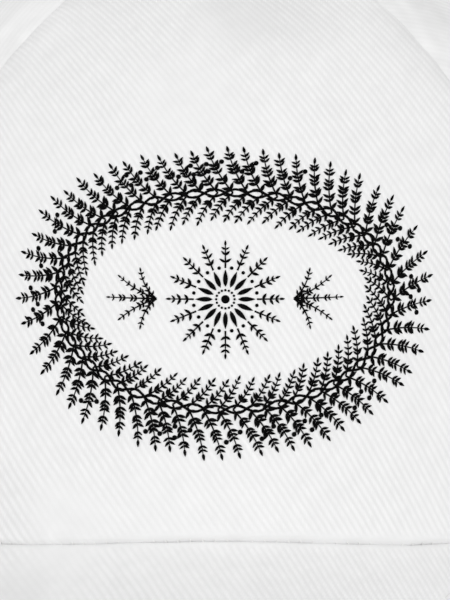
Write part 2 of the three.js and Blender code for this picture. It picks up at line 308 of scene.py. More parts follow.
def make_twill():
    group, given, height_out = new_group("twill", ("Ironed", "End Spacing", "Pick Spacing"), "Height")
    do = partial(calc, group)
    cloth = put(group, "ShaderNodeSeparateXYZ", given["Cloth"]).outputs
    wander = noise_at(group, given["Cloth"], WANDER_SCALE, 5, 0.45, noise_dimensions="2D")
    drift = do("MULTIPLY_ADD", wander, WANDER_YARNS, -WANDER_YARNS / 2)
    x = do("ADD", do("DIVIDE", cloth[0], given["End Spacing"]), drift)
    y = do("DIVIDE", cloth[1], given["Pick Spacing"])
    column = do("FLOOR", x)
    off_middle = do("MULTIPLY_ADD", do("FRACT", x), 2.0, -1.0)
    roundness = do("SUBTRACT", 1.0, do("MULTIPLY", off_middle, off_middle))
    step = do("DIVIDE", do("ADD", y, column), FLOAT_PICKS)
    along = do("MINIMUM", do("DIVIDE", do("FRACT", step), FLOAT_SHARE), 1.0)
    arch = do("SINE", do("MULTIPLY", along, pi))
    yarn = do("MULTIPLY", do("SQRT", roundness), arch)
    phase = do("SUBTRACT", do("DIVIDE", do("ADD", x, y), FLOAT_PICKS), RIB_OFFSET)
    rib = do("MULTIPLY_ADD", do("COSINE", do("MULTIPLY", phase, tau)), 0.5, 0.5)
    along_yarn = do("MULTIPLY", column, SLUB_ACROSS), do("MULTIPLY", y, SLUB_ALONG)
    spot = put(group, "ShaderNodeCombineXYZ", *along_yarn).outputs[0]
    slub = noise_at(group, spot, 1, 3, noise_dimensions="2D")
    body = do("MULTIPLY", rib, do("MULTIPLY_ADD", slub, SLUB_GAIN, SLUB_BASE))
    height = do("MULTIPLY_ADD", yarn, YARN_HEIGHT, body)
    stands = do("SUBTRACT", 1.0, given["Ironed"])
    off_level = do("SUBTRACT", height, IRONED_HEIGHT)
    group.links.new(do("MULTIPLY_ADD", off_level, stands, IRONED_HEIGHT), height_out)
    return group


TWILL = make_twill()
print("twill group:", len(TWILL.nodes), "nodes")

# %% [markdown]
# ## Plain weave, as a formula
#
# The stiffening behind the front and the tapes are plain weaves: yarns pass over and under one by one.
# Two sine waves at right angles, with the sign of their product left out, give that chequer of small
# pillows.

# %% Group: plain weave
def make_plain_weave():
    group, given, height_out = new_group("plain weave", ("Spacing",), "Height")
    do = partial(calc, group)
    cloth = put(group, "ShaderNodeSeparateXYZ", given["Cloth"]).outputs
    waves = [do("SINE", do("MULTIPLY", do("DIVIDE", cloth[i], given["Spacing"]), pi)) for i in (0, 1)]
    group.links.new(do("ABSOLUTE", do("MULTIPLY", *waves)), height_out)
    return group


PLAIN = make_plain_weave()
print("plain weave group:", len(PLAIN.nodes), "nodes")

# %% [markdown]
# ## Materials
#
# Every cloth is a Principled shader with a very rough surface and a little sheen for the fuzz on cotton.
# What changes from cloth to cloth is the weave in its bump, and the tone: the hollows between ribs carry
# painted shade and are a shade darker than their backs. The weave reads the piece's own map of the flat
# cloth, so it runs with the grain of each piece.

# %% Start a material
def start_material(name, roughness, sheen=0.0, specular=0.3):
    material = bpy.data.materials.new(name)
    material.use_nodes = True
    tree = material.node_tree
    shader = tree.nodes["Principled BSDF"]
    tune(shader, {"Roughness": roughness, "Sheen Weight": sheen, "Specular IOR Level": specular})
    return material, tree, shader


# %% What a material reads, and what it gives its shader
def weave_at(tree, group, spacings):
    """A weave that reads the piece's own map of the flat cloth."""
    cloth = put(tree, "ShaderNodeUVMap", uv_map="cloth").outputs[0]
    return tune(put(tree, "ShaderNodeGroup", cloth, node_tree=group), spacings)


END_SPACING = 0.395 * MM
PICK_SPACING = 0.6 * MM


def twill_at(tree):
    return weave_at(tree, TWILL, {"End Spacing": END_SPACING, "Pick Spacing": PICK_SPACING})


def attribute(tree, name):
    return put(tree, "ShaderNodeAttribute", attribute_name=name).outputs["Fac"]


def place_in_object(tree):
    return put(tree, "ShaderNodeTexCoord").outputs["Object"]


def tone_mix(tree, share, dark, light):
    node = put(tree, "ShaderNodeMix", data_type="RGBA")
    tree.links.new(share, node.inputs[0])
    dark_socket, light_socket = (s for s in node.inputs if s.type == "RGBA")
    dark_socket.default_value, light_socket.default_value = (*dark, 1), (*light, 1)
    return next(s for s in node.outputs if s.type == "RGBA")


def dress(tree, shader, tone, height, relief):
    """Gives a shader its tone and its bump."""
    tree.links.new(tone, shader.inputs["Base Color"])
    bump = tune(put(tree, "ShaderNodeBump"), {"Strength": 1.0, "Distance": relief})
    tree.links.new(height, bump.inputs["Height"])
    tree.links.new(bump.outputs["Normal"], shader.inputs["Normal"])


# %% Cloth materials
TWILL_RELIEF = 0.065 * MM
WEAVE_IN_TONE = 0.8
BLOTCH_SCALE = 230
BLOTCH_GAIN = 0.6
BLOTCH_BASE = -0.24
FULL_SHADE = 0.08


def twill_material(name, dark, light, relief=TWILL_RELIEF):
    material, tree, shader = start_material(name, 0.92, 0.15)
    weave = twill_at(tree)
    tree.links.new(attribute(tree, "ironed"), weave.inputs["Ironed"])
    height = weave.outputs["Height"]
    blotches = noise_at(tree, place_in_object(tree), BLOTCH_SCALE, 6, 0.65)
    blotch = calc(tree, "MULTIPLY_ADD", blotches, BLOTCH_GAIN, BLOTCH_BASE)
    # Painted shade: the tone follows the weave's height, so the hollows between ribs are darker, with random
    # blotches on top.
    share = calc(tree, "MULTIPLY_ADD", height, WEAVE_IN_TONE, blotch)
    shaded = put(tree, "ShaderNodeVectorMath", tone_mix(tree, share, dark, light), operation="SCALE")
    # The shade attribute darkens the tone: it carries painted shade and painted light, and the cloth's random
    # unevenness.
    left = calc(tree, "MULTIPLY_ADD", attribute(tree, "shade"), -FULL_SHADE, 1.0)
    tree.links.new(left, shaded.inputs["Scale"])
    dress(tree, shader, shaded.outputs[0], height, relief)
    return material


def patterned_material(name, pattern, dark, light, relief, roughness, sheen=0.0, specular=0.3):
    """A material that follows one pattern: pattern(tree) gives what sets the tone and what sets the bump."""
    material, tree, shader = start_material(name, roughness, sheen, specular)
    share, height = pattern(tree)
    dress(tree, shader, tone_mix(tree, share, dark, light), height, relief)
    return material


def plain_material(name, dark, light, spacing, relief):
    def pattern(tree):
        # Painted shade: the tone follows the weave's height, so its hollows are darker.
        return [weave_at(tree, PLAIN, {"Spacing": spacing}).outputs["Height"]] * 2

    return patterned_material(name, pattern, dark, light, relief, roughness=0.95, sheen=0.1)


def off_white(value):
    return value, value, value - 0.01


DRILL = twill_material("drill", (0.8, 0.8, 0.8), (0.9, 0.9, 0.9))
BAND = twill_material("band twill", off_white(0.76), off_white(0.88), relief=0.1 * MM)
LINING = plain_material("lining weave", off_white(0.7), off_white(0.86), spacing=0.9 * MM, relief=0.15 * MM)
TAPE = plain_material("tape weave", off_white(0.76), off_white(0.88), spacing=0.45 * MM, relief=0.08 * MM)
for cloth in (DRILL, BAND, LINING, TAPE):
    print("material", cloth.name, "with", len(cloth.node_tree.nodes), "nodes")


# %% [markdown]
# Thread is two plies twisted together. A wave that runs slantwise along each stitch would need its own
# map, so the thread reads its place in the object, where the twist is finer than a stitch and only breaks
# up the highlight. The loop tape is a field of tiny cells with fuzz on it, and the print is a black skin
# that shows the twill below it.

# %% Thread, hook-and-loop tape, print and felt
THREAD_TWIST = 900
LOOP_SCALE = 1400
LOOP_FUZZ = 2600
FELT_FUZZ = 1500


def thread_pattern(tree):
    twist = put(tree, "ShaderNodeTexWave", place_in_object(tree), bands_direction="DIAGONAL")
    return [tune(twist, {"Scale": THREAD_TWIST, "Distortion": 1.5}).outputs["Fac"]] * 2


def hook_pattern(tree):
    place = place_in_object(tree)
    loops = tune(put(tree, "ShaderNodeTexVoronoi", place), {"Scale": LOOP_SCALE}).outputs["Distance"]
    return loops, calc(tree, "ADD", loops, noise_at(tree, place, LOOP_FUZZ))


def print_pattern(tree):
    # Painted shade: the ink's tone follows the twill's height, so it is darker in the hollows between ribs.
    return [twill_at(tree).outputs["Height"]] * 2


def felt_pattern(tree):
    return [noise_at(tree, place_in_object(tree), FELT_FUZZ)] * 2


THREAD = patterned_material(
    "thread", thread_pattern, off_white(0.74), off_white(0.9), relief=0.05 * MM, roughness=0.6, sheen=0.2,
    specular=0.4,
)
HOOK = patterned_material(
    "hook and loop", hook_pattern, off_white(0.84), off_white(0.66), relief=0.25 * MM, roughness=0.85,
    sheen=0.5,
)
INK_DARK, INK_LIGHT = (0.0015, 0.0015, 0.0016), (0.004, 0.004, 0.0042)
PRINT = patterned_material(
    "black print", print_pattern, INK_DARK, INK_LIGHT, relief=TWILL_RELIEF, roughness=0.95, specular=0.04
)
FELT = patterned_material(
    "button backing", felt_pattern, off_white(0.7), off_white(0.88), relief=0.1 * MM, roughness=0.95,
    sheen=0.3,
)
print("materials:", len(bpy.data.materials))


# %% [markdown]
# ## From a flat sheet to a piece of the cap
#
# Each piece of cloth starts as a flat grid. Every corner of the grid is first given its place on the flat
# cloth, as a UV in metres, and is then carried to its place on the cap. Solidify gives the sheet its
# thickness towards the inside and Bevel rounds its cut edges. Crowding the grid's rows towards the edges
# spends the detail where the seams roll, instead of on the plain middle.

# %% Make a sheet
def eased(share, crowding):
    """Shifts a share from 0 to 1 so that equal steps come closer together at both ends."""
    return share - crowding * sin(tau * share) / tau


def new_mesh(name, bm):
    mesh = bpy.data.meshes.new(name)
    bm.to_mesh(mesh)
    bm.free()
    return mesh


def new_object(name, bm, material):
    mesh = new_mesh(name, bm)
    mesh.materials.append(material)
    return add_to_scene(name, mesh)


def map_cloth(bm, on_flat):
    """Smooths the faces, and gives each corner its place on the flat cloth, which on_flat(vert) says."""
    layer = bm.loops.layers.uv.new("cloth")
    flat = {v: on_flat(v) for v in bm.verts}
    for face in bm.faces:
        face.smooth = True
        for loop in face.loops:
            loop[layer].uv = flat[loop.vert]


def sheet_grid(across, up, place, cloth, crowd=(0, 0), finish=None):
    bm = bmesh.new()
    bmesh.ops.create_grid(bm, x_segments=across, y_segments=up, size=0.5)

    def share(v):
        return [eased(v.co[i] + 0.5, crowd[i]) for i in (0, 1)]

    map_cloth(bm, lambda v: cloth(*share(v)))
    ironed, shade = (bm.verts.layers.float.new(name) for name in ("ironed", "shade"))
    for v in bm.verts:
        across_up = share(v)
        v.co = place(*across_up)
        if finish:
            v[ironed], v[shade] = finish(*across_up)
    return bm


# %% Finish and wear a sheet
SHARP_EDGE = radians(50)


def thicken(piece, thickness, rounding=0.0):
    wall = piece.modifiers.new("thickness", "SOLIDIFY")
    wall.thickness = thickness
    wall.offset = -1
    if rounding:
        edge = piece.modifiers.new("rounded edge", "BEVEL")
        edge.width = rounding
        edge.segments = 2
        edge.limit_method = "ANGLE"
        edge.angle_limit = SHARP_EDGE


def apply_modifiers(piece):
    shape = piece.evaluated_get(bpy.context.evaluated_depsgraph_get())
    solid = bpy.data.meshes.new_from_object(shape)
    piece.modifiers.clear()
    piece.data = solid


def wear(piece, slot, *nodes):
    """Rides on the cap's one body, stands for the nodes that it replaces by hiding them, and prints the slot
    given for it.
    """
    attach(piece, "root")
    if nodes:
        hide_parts(*nodes)
    print(piece.name, "in slot", slot, "with", len(piece.data.polygons), "faces")
    return piece


# %% [markdown]
# ## Where the grain runs
#
# A gore is cut flat, with its lengthwise yarns along its middle, and then bends round the head. To map
# it, a point is measured from the gore's middle line along the shortest way, and that line is measured up
# from the rim. This keeps the lengths near the middle true and lets the grain lean at the seams, as it
# does on a real cap, where the ribs of two gores meet at an angle.

# %% The gores
TABLE_STEPS = 96


def running_lengths(points):
    total, table = 0.0, [0.0]
    for a, b in zip(points, points[1:]):
        total += (b - a).length
        table.append(total)
    return table


def look_up(table, share):
    spot = clamp(share) * (len(table) - 1)
    low = min(int(spot), len(table) - 2)
    return mix(table[low], table[low + 1], spot - low)


class Gore:
    """A panel of the crown between two seams. A seam kind says how its edge lies: over, under or even."""

    def __init__(self, name, start, end, kinds):
        self.name, self.start, self.end = name, start, end
        self.seams = tuple(zip((start, end), kinds))
        self.middle = (start + end) / 2
        steps = [i / TABLE_STEPS for i in range(TABLE_STEPS + 1)]
        self.round = running_lengths([crown(self.middle + (s - 0.5) * pi, 0) for s in steps])
        self.up = running_lengths([crown(self.middle, s) for s in steps])
        self.centre = look_up(self.round, 0.5)

    def cloth(self, angle, rise):
        """The place on the flat cloth of a point of the crown: across the gore, and up from its rim."""
        turn, off = rise * pi / 2, angle - self.middle
        sideways = asin(clamp(cos(turn) * sin(off), -1, 1))
        upward = atan2(sin(turn), cos(turn) * cos(off))
        across = look_up(self.round, sideways / pi + 0.5) - self.centre
        return across, look_up(self.up, upward * 2 / pi)


# %% The front gore is pressed
PRESS_REACH = 80 * MM
SEAM_EASE = 13.9 * MM
TOP_EASE = 22.7 * MM
SKEW = 2.5 * MM
SIDE_EASE = 10.1 * MM
SEAM_DRAG = 1.5 * MM
DRAG_REACH = 5 * MM


def fade(distance, reach):
    return exp(-distance / reach)


class PressedGore(Gore):
    """A gore that is pressed over a form with its stiffening, which eases its cloth out towards the seams."""

    def cloth(self, angle, rise):
        across, up = super().cloth(angle, rise)
        x, y = across / PRESS_REACH, up / PRESS_REACH
        eased_out = -x * x * (SEAM_EASE * x + TOP_EASE * y) + x * (SKEW * y + SIDE_EASE * x)
        to_seam = (angle - self.start) * radius_at(angle, rise)
        return across + eased_out + SEAM_DRAG * fade(max(to_seam, 0), DRAG_REACH), up


FRONT = PressedGore("front_panel", -FRONT_SEAM, FRONT_SEAM, ("under", "under"))
SIDES = {
    "left": Gore("side_panel_left", FRONT_SEAM, SIDE_SEAM, ("over", "even")),
    "right": Gore("side_panel_right", -SIDE_SEAM, -FRONT_SEAM, ("even", "over")),
}
BACKS = {
    "left": Gore("back_panel_left", SIDE_SEAM, BACK_SEAM, ("even", "even")),
    "right": Gore("back_panel_right", -BACK_SEAM, -SIDE_SEAM, ("even", "even")),
}
print("front gore:", round(FRONT.up[-1], 4), "m from rim to top")

# %% [markdown]
# ## Seams that drop and pucker
#
# In the photograph the front panel stands a little proud and drops to its seams over a few millimetres,
# while the side panels meet it nearly flat. Both pucker where the thread pulls. This is shape, not
# texture, so it goes into the mesh: a profile across the seam, a slow noise along it, and a very slight
# unevenness and one shallow dent of the stiffened crown.

# %% Profiles across a seam
PROUD_HEIGHT = 0.4 * MM
PROUD_REACH = 3.2 * MM
PROUD_FADE = 22 * MM
EDGE_DROP = 0.08 * MM
EDGE_REACH = 1.0 * MM
LIP_HEIGHT = 0.14 * MM
LIP_PLACE = 2.4 * MM
LIP_WIDTH = 1.7 * MM
GROOVE_DEPTH = 0.4 * MM
GROOVE_REACH = 0.7 * MM
PUCKER_HEIGHT = 0.25 * MM
PEAK_PUCKER_HEIGHT = 0.13 * MM
PUCKER_REACH = 6 * MM
PUCKER_LENGTH = 14 * MM
PUCKER_PITCH = 7 * MM


def bell(distance, place, width):
    return exp(-(((distance - place) / width) ** 2))


def seam_profile(distance, kind):
    if kind == "under":
        drop = (PROUD_HEIGHT + EDGE_DROP) * fade(distance, PROUD_REACH)
        return (PROUD_HEIGHT - drop) * bell(distance, 0, PROUD_FADE)
    if kind == "even":
        lip = LIP_HEIGHT * bell(distance, LIP_PLACE, LIP_WIDTH)
        return lip - GROOVE_DEPTH * fade(distance, GROOVE_REACH)
    return -EDGE_DROP * fade(distance, EDGE_REACH)


def pucker(distance, along, seed, height):
    wave = noise.noise(Vector((along / PUCKER_PITCH, distance / PUCKER_LENGTH, seed)))
    return height * wave * fade(max(distance, 0), PUCKER_REACH)


for kind in ("under", "even", "over"):
    print("edge of a seam of the kind", kind, "in mm:", round(seam_profile(0, kind) / MM, 2))


# %% The turned lower edge
TUCK_DEPTH = 0.39 * MM
TUCK_REACH = 1.25 * MM
TUCK_CHANGE = 0.5
TUCK_PITCH = 5 * MM
TUCK_SEED = 2.2
TUCK_AT_ENDS = 1.12
TUCK_ENDS = (24 * MM, 42 * MM)
TUCK_FROM_ROOT = (PEAK_ROOT - radians(1.5), PEAK_ROOT + radians(0.5))
RIDGE_HEIGHT = 0.16 * MM
RIDGE_PLACE = 1.7 * MM
RIDGE_WIDTH = 1.3 * MM
RIM_PUCKER_SEED = 7.7
FREE_EDGE_DROP = 0.25 * MM


def curl(distance, reach):
    """1 at an edge, and down to 0 at a reach from it, as a round corner falls."""
    return (1 - clamp(distance / reach)) ** 2


def rim_profile(angle, above_rim):
    """The turned lower edge: tucked in behind the peak's root, or a small roll where the rim is free."""
    at_peak = 1 - smooth(abs(angle), *TUCK_FROM_ROOT)
    above_peak = above_rim - PEAK_THICKNESS
    along = angle * FRONT_REACH
    pull = 1 + TUCK_CHANGE * noise.noise(Vector((along / TUCK_PITCH, 0, TUCK_SEED)))
    pull *= mix(1, TUCK_AT_ENDS, smooth(abs(along), *TUCK_ENDS))
    tuck = -TUCK_DEPTH * pull * curl(above_peak, TUCK_REACH)
    ridge = RIDGE_HEIGHT * bell(above_peak, RIDGE_PLACE, RIDGE_WIDTH)
    drawn = pucker(above_peak, along, RIM_PUCKER_SEED, PEAK_PUCKER_HEIGHT)
    free = -FREE_EDGE_DROP * curl(above_rim, TUCK_REACH)
    return mix(free, tuck + ridge + drawn, at_peak)


print("front's edge at the peak, in mm:", round(rim_profile(0, PEAK_THICKNESS) / MM, 2))


# %% Relief of the panels
SWELL_HEIGHT = 0.45 * MM
SWELL_SIZE = 40 * MM
FOOT_STILL = (3 * MM, 16 * MM)
DENT_PLACE = Vector((8 * MM, AXIS_Y - 29 * MM, 125 * MM))
DENT_DEPTH = 1.4 * MM
DENT_REACH = 15 * MM


def relief(gore, angle, rise):
    r = radius_at(angle, rise)
    at = crown(angle, rise)
    seams = 0.0
    for seam, kind in gore.seams:
        distance = abs(angle - seam) * r
        seams += seam_profile(distance, kind)
        seams += pucker(distance, at.z + at.y, 5 * sin(seam), PUCKER_HEIGHT)
    above_rim = at.z - rim_height(angle)
    off_foot = smooth(above_rim, *FOOT_STILL)
    if gore is FRONT:
        seams *= off_foot
    swell = SWELL_HEIGHT * noise.noise(at / SWELL_SIZE) * off_foot
    dent = DENT_DEPTH * bell((at - DENT_PLACE).length, 0, DENT_REACH)
    return seams + rim_profile(angle, above_rim) + swell - dent


def under_crown(spot, depth):
    """A point at a depth below a spot of the crown, given as angle and rise, and the normal there."""
    normal = crown_normal(*spot)
    return crown(*spot) - depth * normal, normal


def dressed(gore, angle, rise, lift=0.0):
    """A point of the cloth's outer face, relief and all, or a little above it."""
    return under_crown((angle, rise), -(relief(gore, angle, rise) + lift))[0]


print("relief in the front's middle, in mm:", round(relief(FRONT, 0, 0.5) / MM, 2))


# %% [markdown]
# ## Where the ribs lie flat, and where shade and light are painted
#
# The ribs don't stand equally everywhere. They fade over the turned edges at the peak's seam and on the
# side panels beside the front, where the cloth is stretched, and in a few places that an iron has
# pressed. The tone carries painted shade on the front beside its side seams and at its foot, painted
# light on the side panels beside the front, painted light and a painted shadow at the peak's seam, and
# painted shade at a few spots, with painted light at one. Each point of a sheet carries both as
# attributes.

# %% Where the ribs lie flat
def spots(*rows):
    """Places on the cloth, from rows of x, distance forward, height and reach in mm, and an amount."""
    return [(Vector((x * MM, AXIS_Y - forward * MM, z * MM)), reach * MM, amount)
            for x, forward, z, reach, amount in rows]


IRONED_SPOTS = spots(
    (-31, 93, 31, 13, 0.8), (-6, 97, 39, 24, 0.4), (-38, 103, 21, 19, 0.7), (-6, 60, 109, 15, 0.45),
    (3, 40, 121, 12, 0.5),
)
PEAK_SEAM_FLATNESS = 1.0
PEAK_SEAM_REACH = 3 * MM
PEAK_SEAM_FROM = (-30 * MM, -16 * MM)
SIDE_SEAM_FLATNESS = 0.65
SIDE_SEAM_REACH = 32 * MM
PATCHY_FLATNESS = 0.35
PATCH_SIZE = 18 * MM


def near(distance, reach):
    """1 up to a third of a reach, and 0 from the reach on."""
    return 1 - smooth(distance, reach / 3, reach)


def flatness_at(point, stretched):
    """How flat the ribs lie, from 0 to 1. Each part of stretched is a distance, a reach and a flatness."""
    stand = 1 - PATCHY_FLATNESS * clamp(0.5 + noise.noise(point / PATCH_SIZE))
    ironed = [((point - place).length, reach, flatness) for place, reach, flatness in IRONED_SPOTS]
    for distance, reach, flatness in ironed + stretched:
        stand *= 1 - flatness * near(distance, reach)
    return 1 - stand


print("flatness of the ribs in the front's middle:", round(flatness_at(crown(0, 0.5), []), 2))


# %% Painted shade and light, and the cloth's uneven tone
# Painted shade at a few spots, and painted light at the one whose amount is below zero.
PAINTED_SHADE_AND_LIGHT_SPOTS = spots(
    (9, 37, 122, 18, 0.7), (45, 20, 118, 9, 0.8), (-38, 28, 117, 15, -0.5), (-45, 83, 32, 14, 0.45),
    (-43, 104, 18, 15, 0.8),
)
UNEVEN_TONE = 0.3
UNEVEN_SIZE = 4 * MM


def shade_at(point):
    """The cloth's random unevenness of tone at a point, with painted shade at a few spots and painted light
    at one.
    """
    shade = UNEVEN_TONE * noise.noise(point / UNEVEN_SIZE)
    for place, reach, amount in PAINTED_SHADE_AND_LIGHT_SPOTS:
        shade += amount * near((point - place).length, reach)
    return shade


# Painted shade on the front beside its side seams, fading over a few millimetres and patchy along them.
SEAM_PAINTED_SHADE = 0.9
SEAM_SHADE_REACH = 3.2 * MM
SEAM_SHADE_CHANGE = 1.5
SEAM_SHADE_PITCH = 4.5 * MM
# Painted light on the side panels beside the front, fading away from the seam.
SEAM_PAINTED_LIGHT = -0.45
SEAM_LIGHT_REACH = 5 * MM
# Painted shade at the front's foot, just above the peak.
FOOT_SHADE = 0.3
FOOT_REACH = 9 * MM
SIDE_UNEVEN_TONE = 0.6
SIDE_UNEVEN_FADE = (8 * MM, 24 * MM)
LEAST_REACH = 0.01 * MM


def gore_finish(gore, angle, rise):
    """How flat the ribs are at a point of a gore, and how dark the cloth is there, with its painted shade and
    painted light.
    """
    at = crown(angle, rise)
    stretched = []
    shade = shade_at(at)
    if gore is FRONT:
        above_peak = at.z - rim_height(angle) - PEAK_THICKNESS
        reach = PEAK_SEAM_REACH * smooth(at.x, *PEAK_SEAM_FROM) + LEAST_REACH
        stretched.append((above_peak, reach, PEAK_SEAM_FLATNESS))
        # Painted shade at the front's foot.
        shade += FOOT_SHADE * (1 - smooth(above_peak, 0, FOOT_REACH))
    for seam, kind in gore.seams:
        distance = abs(angle - seam) * radius_at(angle, rise)
        # Painted shade on the front beside a seam that it drops to.
        if kind == "under":
            change = noise.noise(Vector(((at.z + at.y) / SEAM_SHADE_PITCH, distance / PUCKER_LENGTH, seam)))
            shade += SEAM_PAINTED_SHADE * fade(distance, SEAM_SHADE_REACH) * (1 + SEAM_SHADE_CHANGE * change)
        if kind == "over":
            stretched.append((distance, SIDE_SEAM_REACH, SIDE_SEAM_FLATNESS))
            # Painted light on the side panel beside the front's seam.
            shade += SEAM_PAINTED_LIGHT * fade(distance, SEAM_LIGHT_REACH)
            uneven = SIDE_UNEVEN_TONE * noise.noise(at / UNEVEN_SIZE)
            shade += uneven * (1 - smooth(distance, *SIDE_UNEVEN_FADE))
    return flatness_at(at, stretched), shade


for angle in (0, FRONT_SEAM):
    shade = gore_finish(FRONT, angle, 0.5)[1]
    print("shade of the front at an angle of", round(angle, 2), "is", round(shade, 2))


# %% [markdown]
# ## The five panels
#
# The front panel is the widest, and it goes up to the button with the other four. Its grid has its rows
# crowded to all four edges. The panels stop at the small hole in the top of the crown that the button
# covers. The seams beside the front wobble a little, and the cloth near them goes along.

# %% Front panel
PANEL_THICKNESS = 1.0 * MM
TOP_HOLE_RADIUS = 6 * MM
PANEL_CROWDING = (0.82, 0.7)
FRONT_GRID = (130, 110)
PANEL_GRID = (80, 100)
SEAM_WOBBLE = 0.5 * MM
WOBBLE_PITCH = 4.5 * MM
WOBBLE_REACH = 5 * MM
WOBBLE_SEED = 1.3


def gore_spot(gore, u, v):
    """Where a share of a gore lies, with the wobble of its seams."""
    angle = mix(gore.start, gore.end, u)
    rise = v * rise_at_radius(angle, TOP_HOLE_RADIUS)
    r = radius_at(angle, rise)
    shift = 0.0
    for seam, kind in gore.seams:
        if kind != "even":
            place = Vector((crown(seam, rise).z / WOBBLE_PITCH, 6 * sin(seam), WOBBLE_SEED))
            wobble = SEAM_WOBBLE * noise.noise(place)
            shift += wobble / r * fade(abs(angle - seam) * r, WOBBLE_REACH)
    return angle + shift, rise


def make_panel(gore, grid):
    bm = sheet_grid(
        *grid,
        lambda u, v: dressed(gore, *gore_spot(gore, u, v)),
        lambda u, v: gore.cloth(*gore_spot(gore, u, v)),
        crowd=PANEL_CROWDING,
        finish=lambda u, v: gore_finish(gore, *gore_spot(gore, u, v)),
    )
    piece = new_object(gore.name + "_cloth", bm, DRILL)
    thicken(piece, PANEL_THICKNESS)
    apply_modifiers(piece)
    return piece


wear(make_panel(FRONT, FRONT_GRID), "drill", "front_panel")

# %% [markdown]
# ## Holes for the eyelets and the opening
#
# Each side and back panel has one stitched eyelet, and the two back panels share a half-moon opening over
# the strap. The holes are cut from the finished panel with a Boolean, because a grid can't follow a round
# edge. Thread or a rolled edge covers every cut afterwards.

# %% Side and back panels with their holes
EYELET_RISE = 0.47
EYELET_HOLE = 2.5 * MM
CUTTER_DEPTH = 10 * MM
OPENING_HALF_WIDTH = 40 * MM
OPENING_HEIGHT = 56 * MM
OPENING_FULLNESS = 2.4
ARCH_STEPS = 96
CUT_FROM = 60 * MM
CUT_THROUGH = 60 * MM
CUT_BELOW = -6 * MM


def arch(turn, margin=0.0):
    """The edge of the half-moon as x and height. The turn runs from 0 to pi over the top."""
    power = 2 / OPENING_FULLNESS
    x = (OPENING_HALF_WIDTH + margin) * copysign(abs(cos(turn)) ** power, cos(turn))
    return x, (OPENING_HEIGHT + margin) * abs(sin(turn)) ** power


def facing(point, normal, along=Vector((0, 0, 1))):
    """A matrix whose Z is the normal, and whose X is as near to a given direction as it can be."""
    z = normal.normalized()
    x = (along - along.dot(z) * z).normalized()
    return Matrix.Translation(point) @ Matrix((x, z.cross(x), z)).transposed().to_4x4()


def cut(piece, cutter):
    tool = new_object("cutter", cutter, DRILL)
    hole = piece.modifiers.new("hole", "BOOLEAN")
    hole.object = tool
    hole.operation = "DIFFERENCE"
    hole.solver = "EXACT"
    apply_modifiers(piece)
    bpy.data.objects.remove(tool)


def eyelet_cutter(angle):
    bm = bmesh.new()
    bmesh.ops.create_cone(
        bm, cap_ends=True, segments=40, radius1=EYELET_HOLE, radius2=EYELET_HOLE, depth=CUTTER_DEPTH,
        matrix=facing(*under_crown((angle, EYELET_RISE), 0)),
    )
    return bm


def opening_cutter():
    """The half-moon as a flat face inside the back, extruded out through it."""
    bm = bmesh.new()
    bmesh.ops.create_circle(bm, cap_ends=True, segments=ARCH_STEPS, radius=1)
    for v in bm.verts:
        turn = atan2(v.co.y, v.co.x)
        x, height = arch(turn)
        v.co = Vector((x, AXIS_Y + CUT_FROM, height if turn > 0 else CUT_BELOW))
    grown = bmesh.ops.extrude_face_region(bm, geom=bm.faces[:])
    moved = [g for g in grown["geom"] if isinstance(g, bmesh.types.BMVert)]
    bmesh.ops.translate(bm, verts=moved, vec=(0, CUT_THROUGH, 0))
    bmesh.ops.recalc_face_normals(bm, faces=bm.faces)
    return bm


for gore in (*SIDES.values(), *BACKS.values()):
    panel = make_panel(gore, PANEL_GRID)
    cut(panel, eyelet_cutter(gore.middle))
    if gore in BACKS.values():
        cut(panel, opening_cutter())
    wear(panel, "drill", gore.name)


# %% [markdown]
# ## Thread
#
# A stitch is a short spindle half sunk in the cloth. Given any route over a surface, the next helper
# walks it at an even pitch and lays one stitch per step, turned to the route and to the surface. There
# are more than a thousand, so each has only a few dozen faces. They are copies of one spindle, as
# building each anew in a mesh that keeps growing takes far longer.

# %% Sew along a route
STITCH_PITCH = 3.3 * MM
STITCH_LENGTH = 2.7 * MM
STITCH_WIDTH = 0.5 * MM
STITCH_FLAT = 0.42


def smooth_faces(bm):
    for face in bm.faces:
        face.smooth = True


def make_spindle():
    """A ball drawn out along X to the size of a stitch."""
    bm = bmesh.new()
    size = Matrix.Diagonal((STITCH_LENGTH / 2, STITCH_WIDTH / 2, STITCH_WIDTH * STITCH_FLAT, 1))
    lie = size @ Matrix.Rotation(pi / 2, 4, "Y")
    bmesh.ops.create_uvsphere(bm, u_segments=6, v_segments=5, radius=1, matrix=lie)
    smooth_faces(bm)
    return new_mesh("spindle", bm)


def add_copy(bm, mesh, lie):
    """Adds a copy of a small mesh, moved by a matrix."""
    one = mesh.copy()
    one.transform(lie)
    bm.from_mesh(one)
    bpy.data.meshes.remove(one)


SPINDLE = make_spindle()
print("one stitch:", len(SPINDLE.polygons), "faces")


def sew(bm, route, steps):
    """Lays stitches along route(share), which gives a point and the surface's normal there."""
    places = [route(i / steps) for i in range(steps + 1)]
    lengths = running_lengths([p for p, n in places])
    count = max(int(lengths[-1] / STITCH_PITCH), 1)
    at = 0
    for k in range(count):
        target = (k + 0.5) * lengths[-1] / count
        while lengths[at + 1] < target:
            at += 1
        share = (target - lengths[at]) / (lengths[at + 1] - lengths[at])
        (p, n), (q, m) = places[at], places[at + 1]
        add_copy(bm, SPINDLE, facing(p.lerp(q, share), n.lerp(m, share), q - p))


def sew_rows(name, routes, steps=400):
    """One piece of thread with the stitches of several routes."""
    bm = bmesh.new()
    for route in routes:
        sew(bm, route, steps)
    return wear(new_object(name, bm, THREAD), "thread")


# %% [markdown]
# ## The peak
#
# The peak is a stiff board between two plies of drill, sewn through with rows that follow its edge. One
# grid wraps right round the free edge: its first half is the upper cloth, from the crown out, and its
# second half comes back underneath, so the edge is round with no join. A search tree finds each point's
# distance to the edge, which sinks the cloth along the rows of stitching.

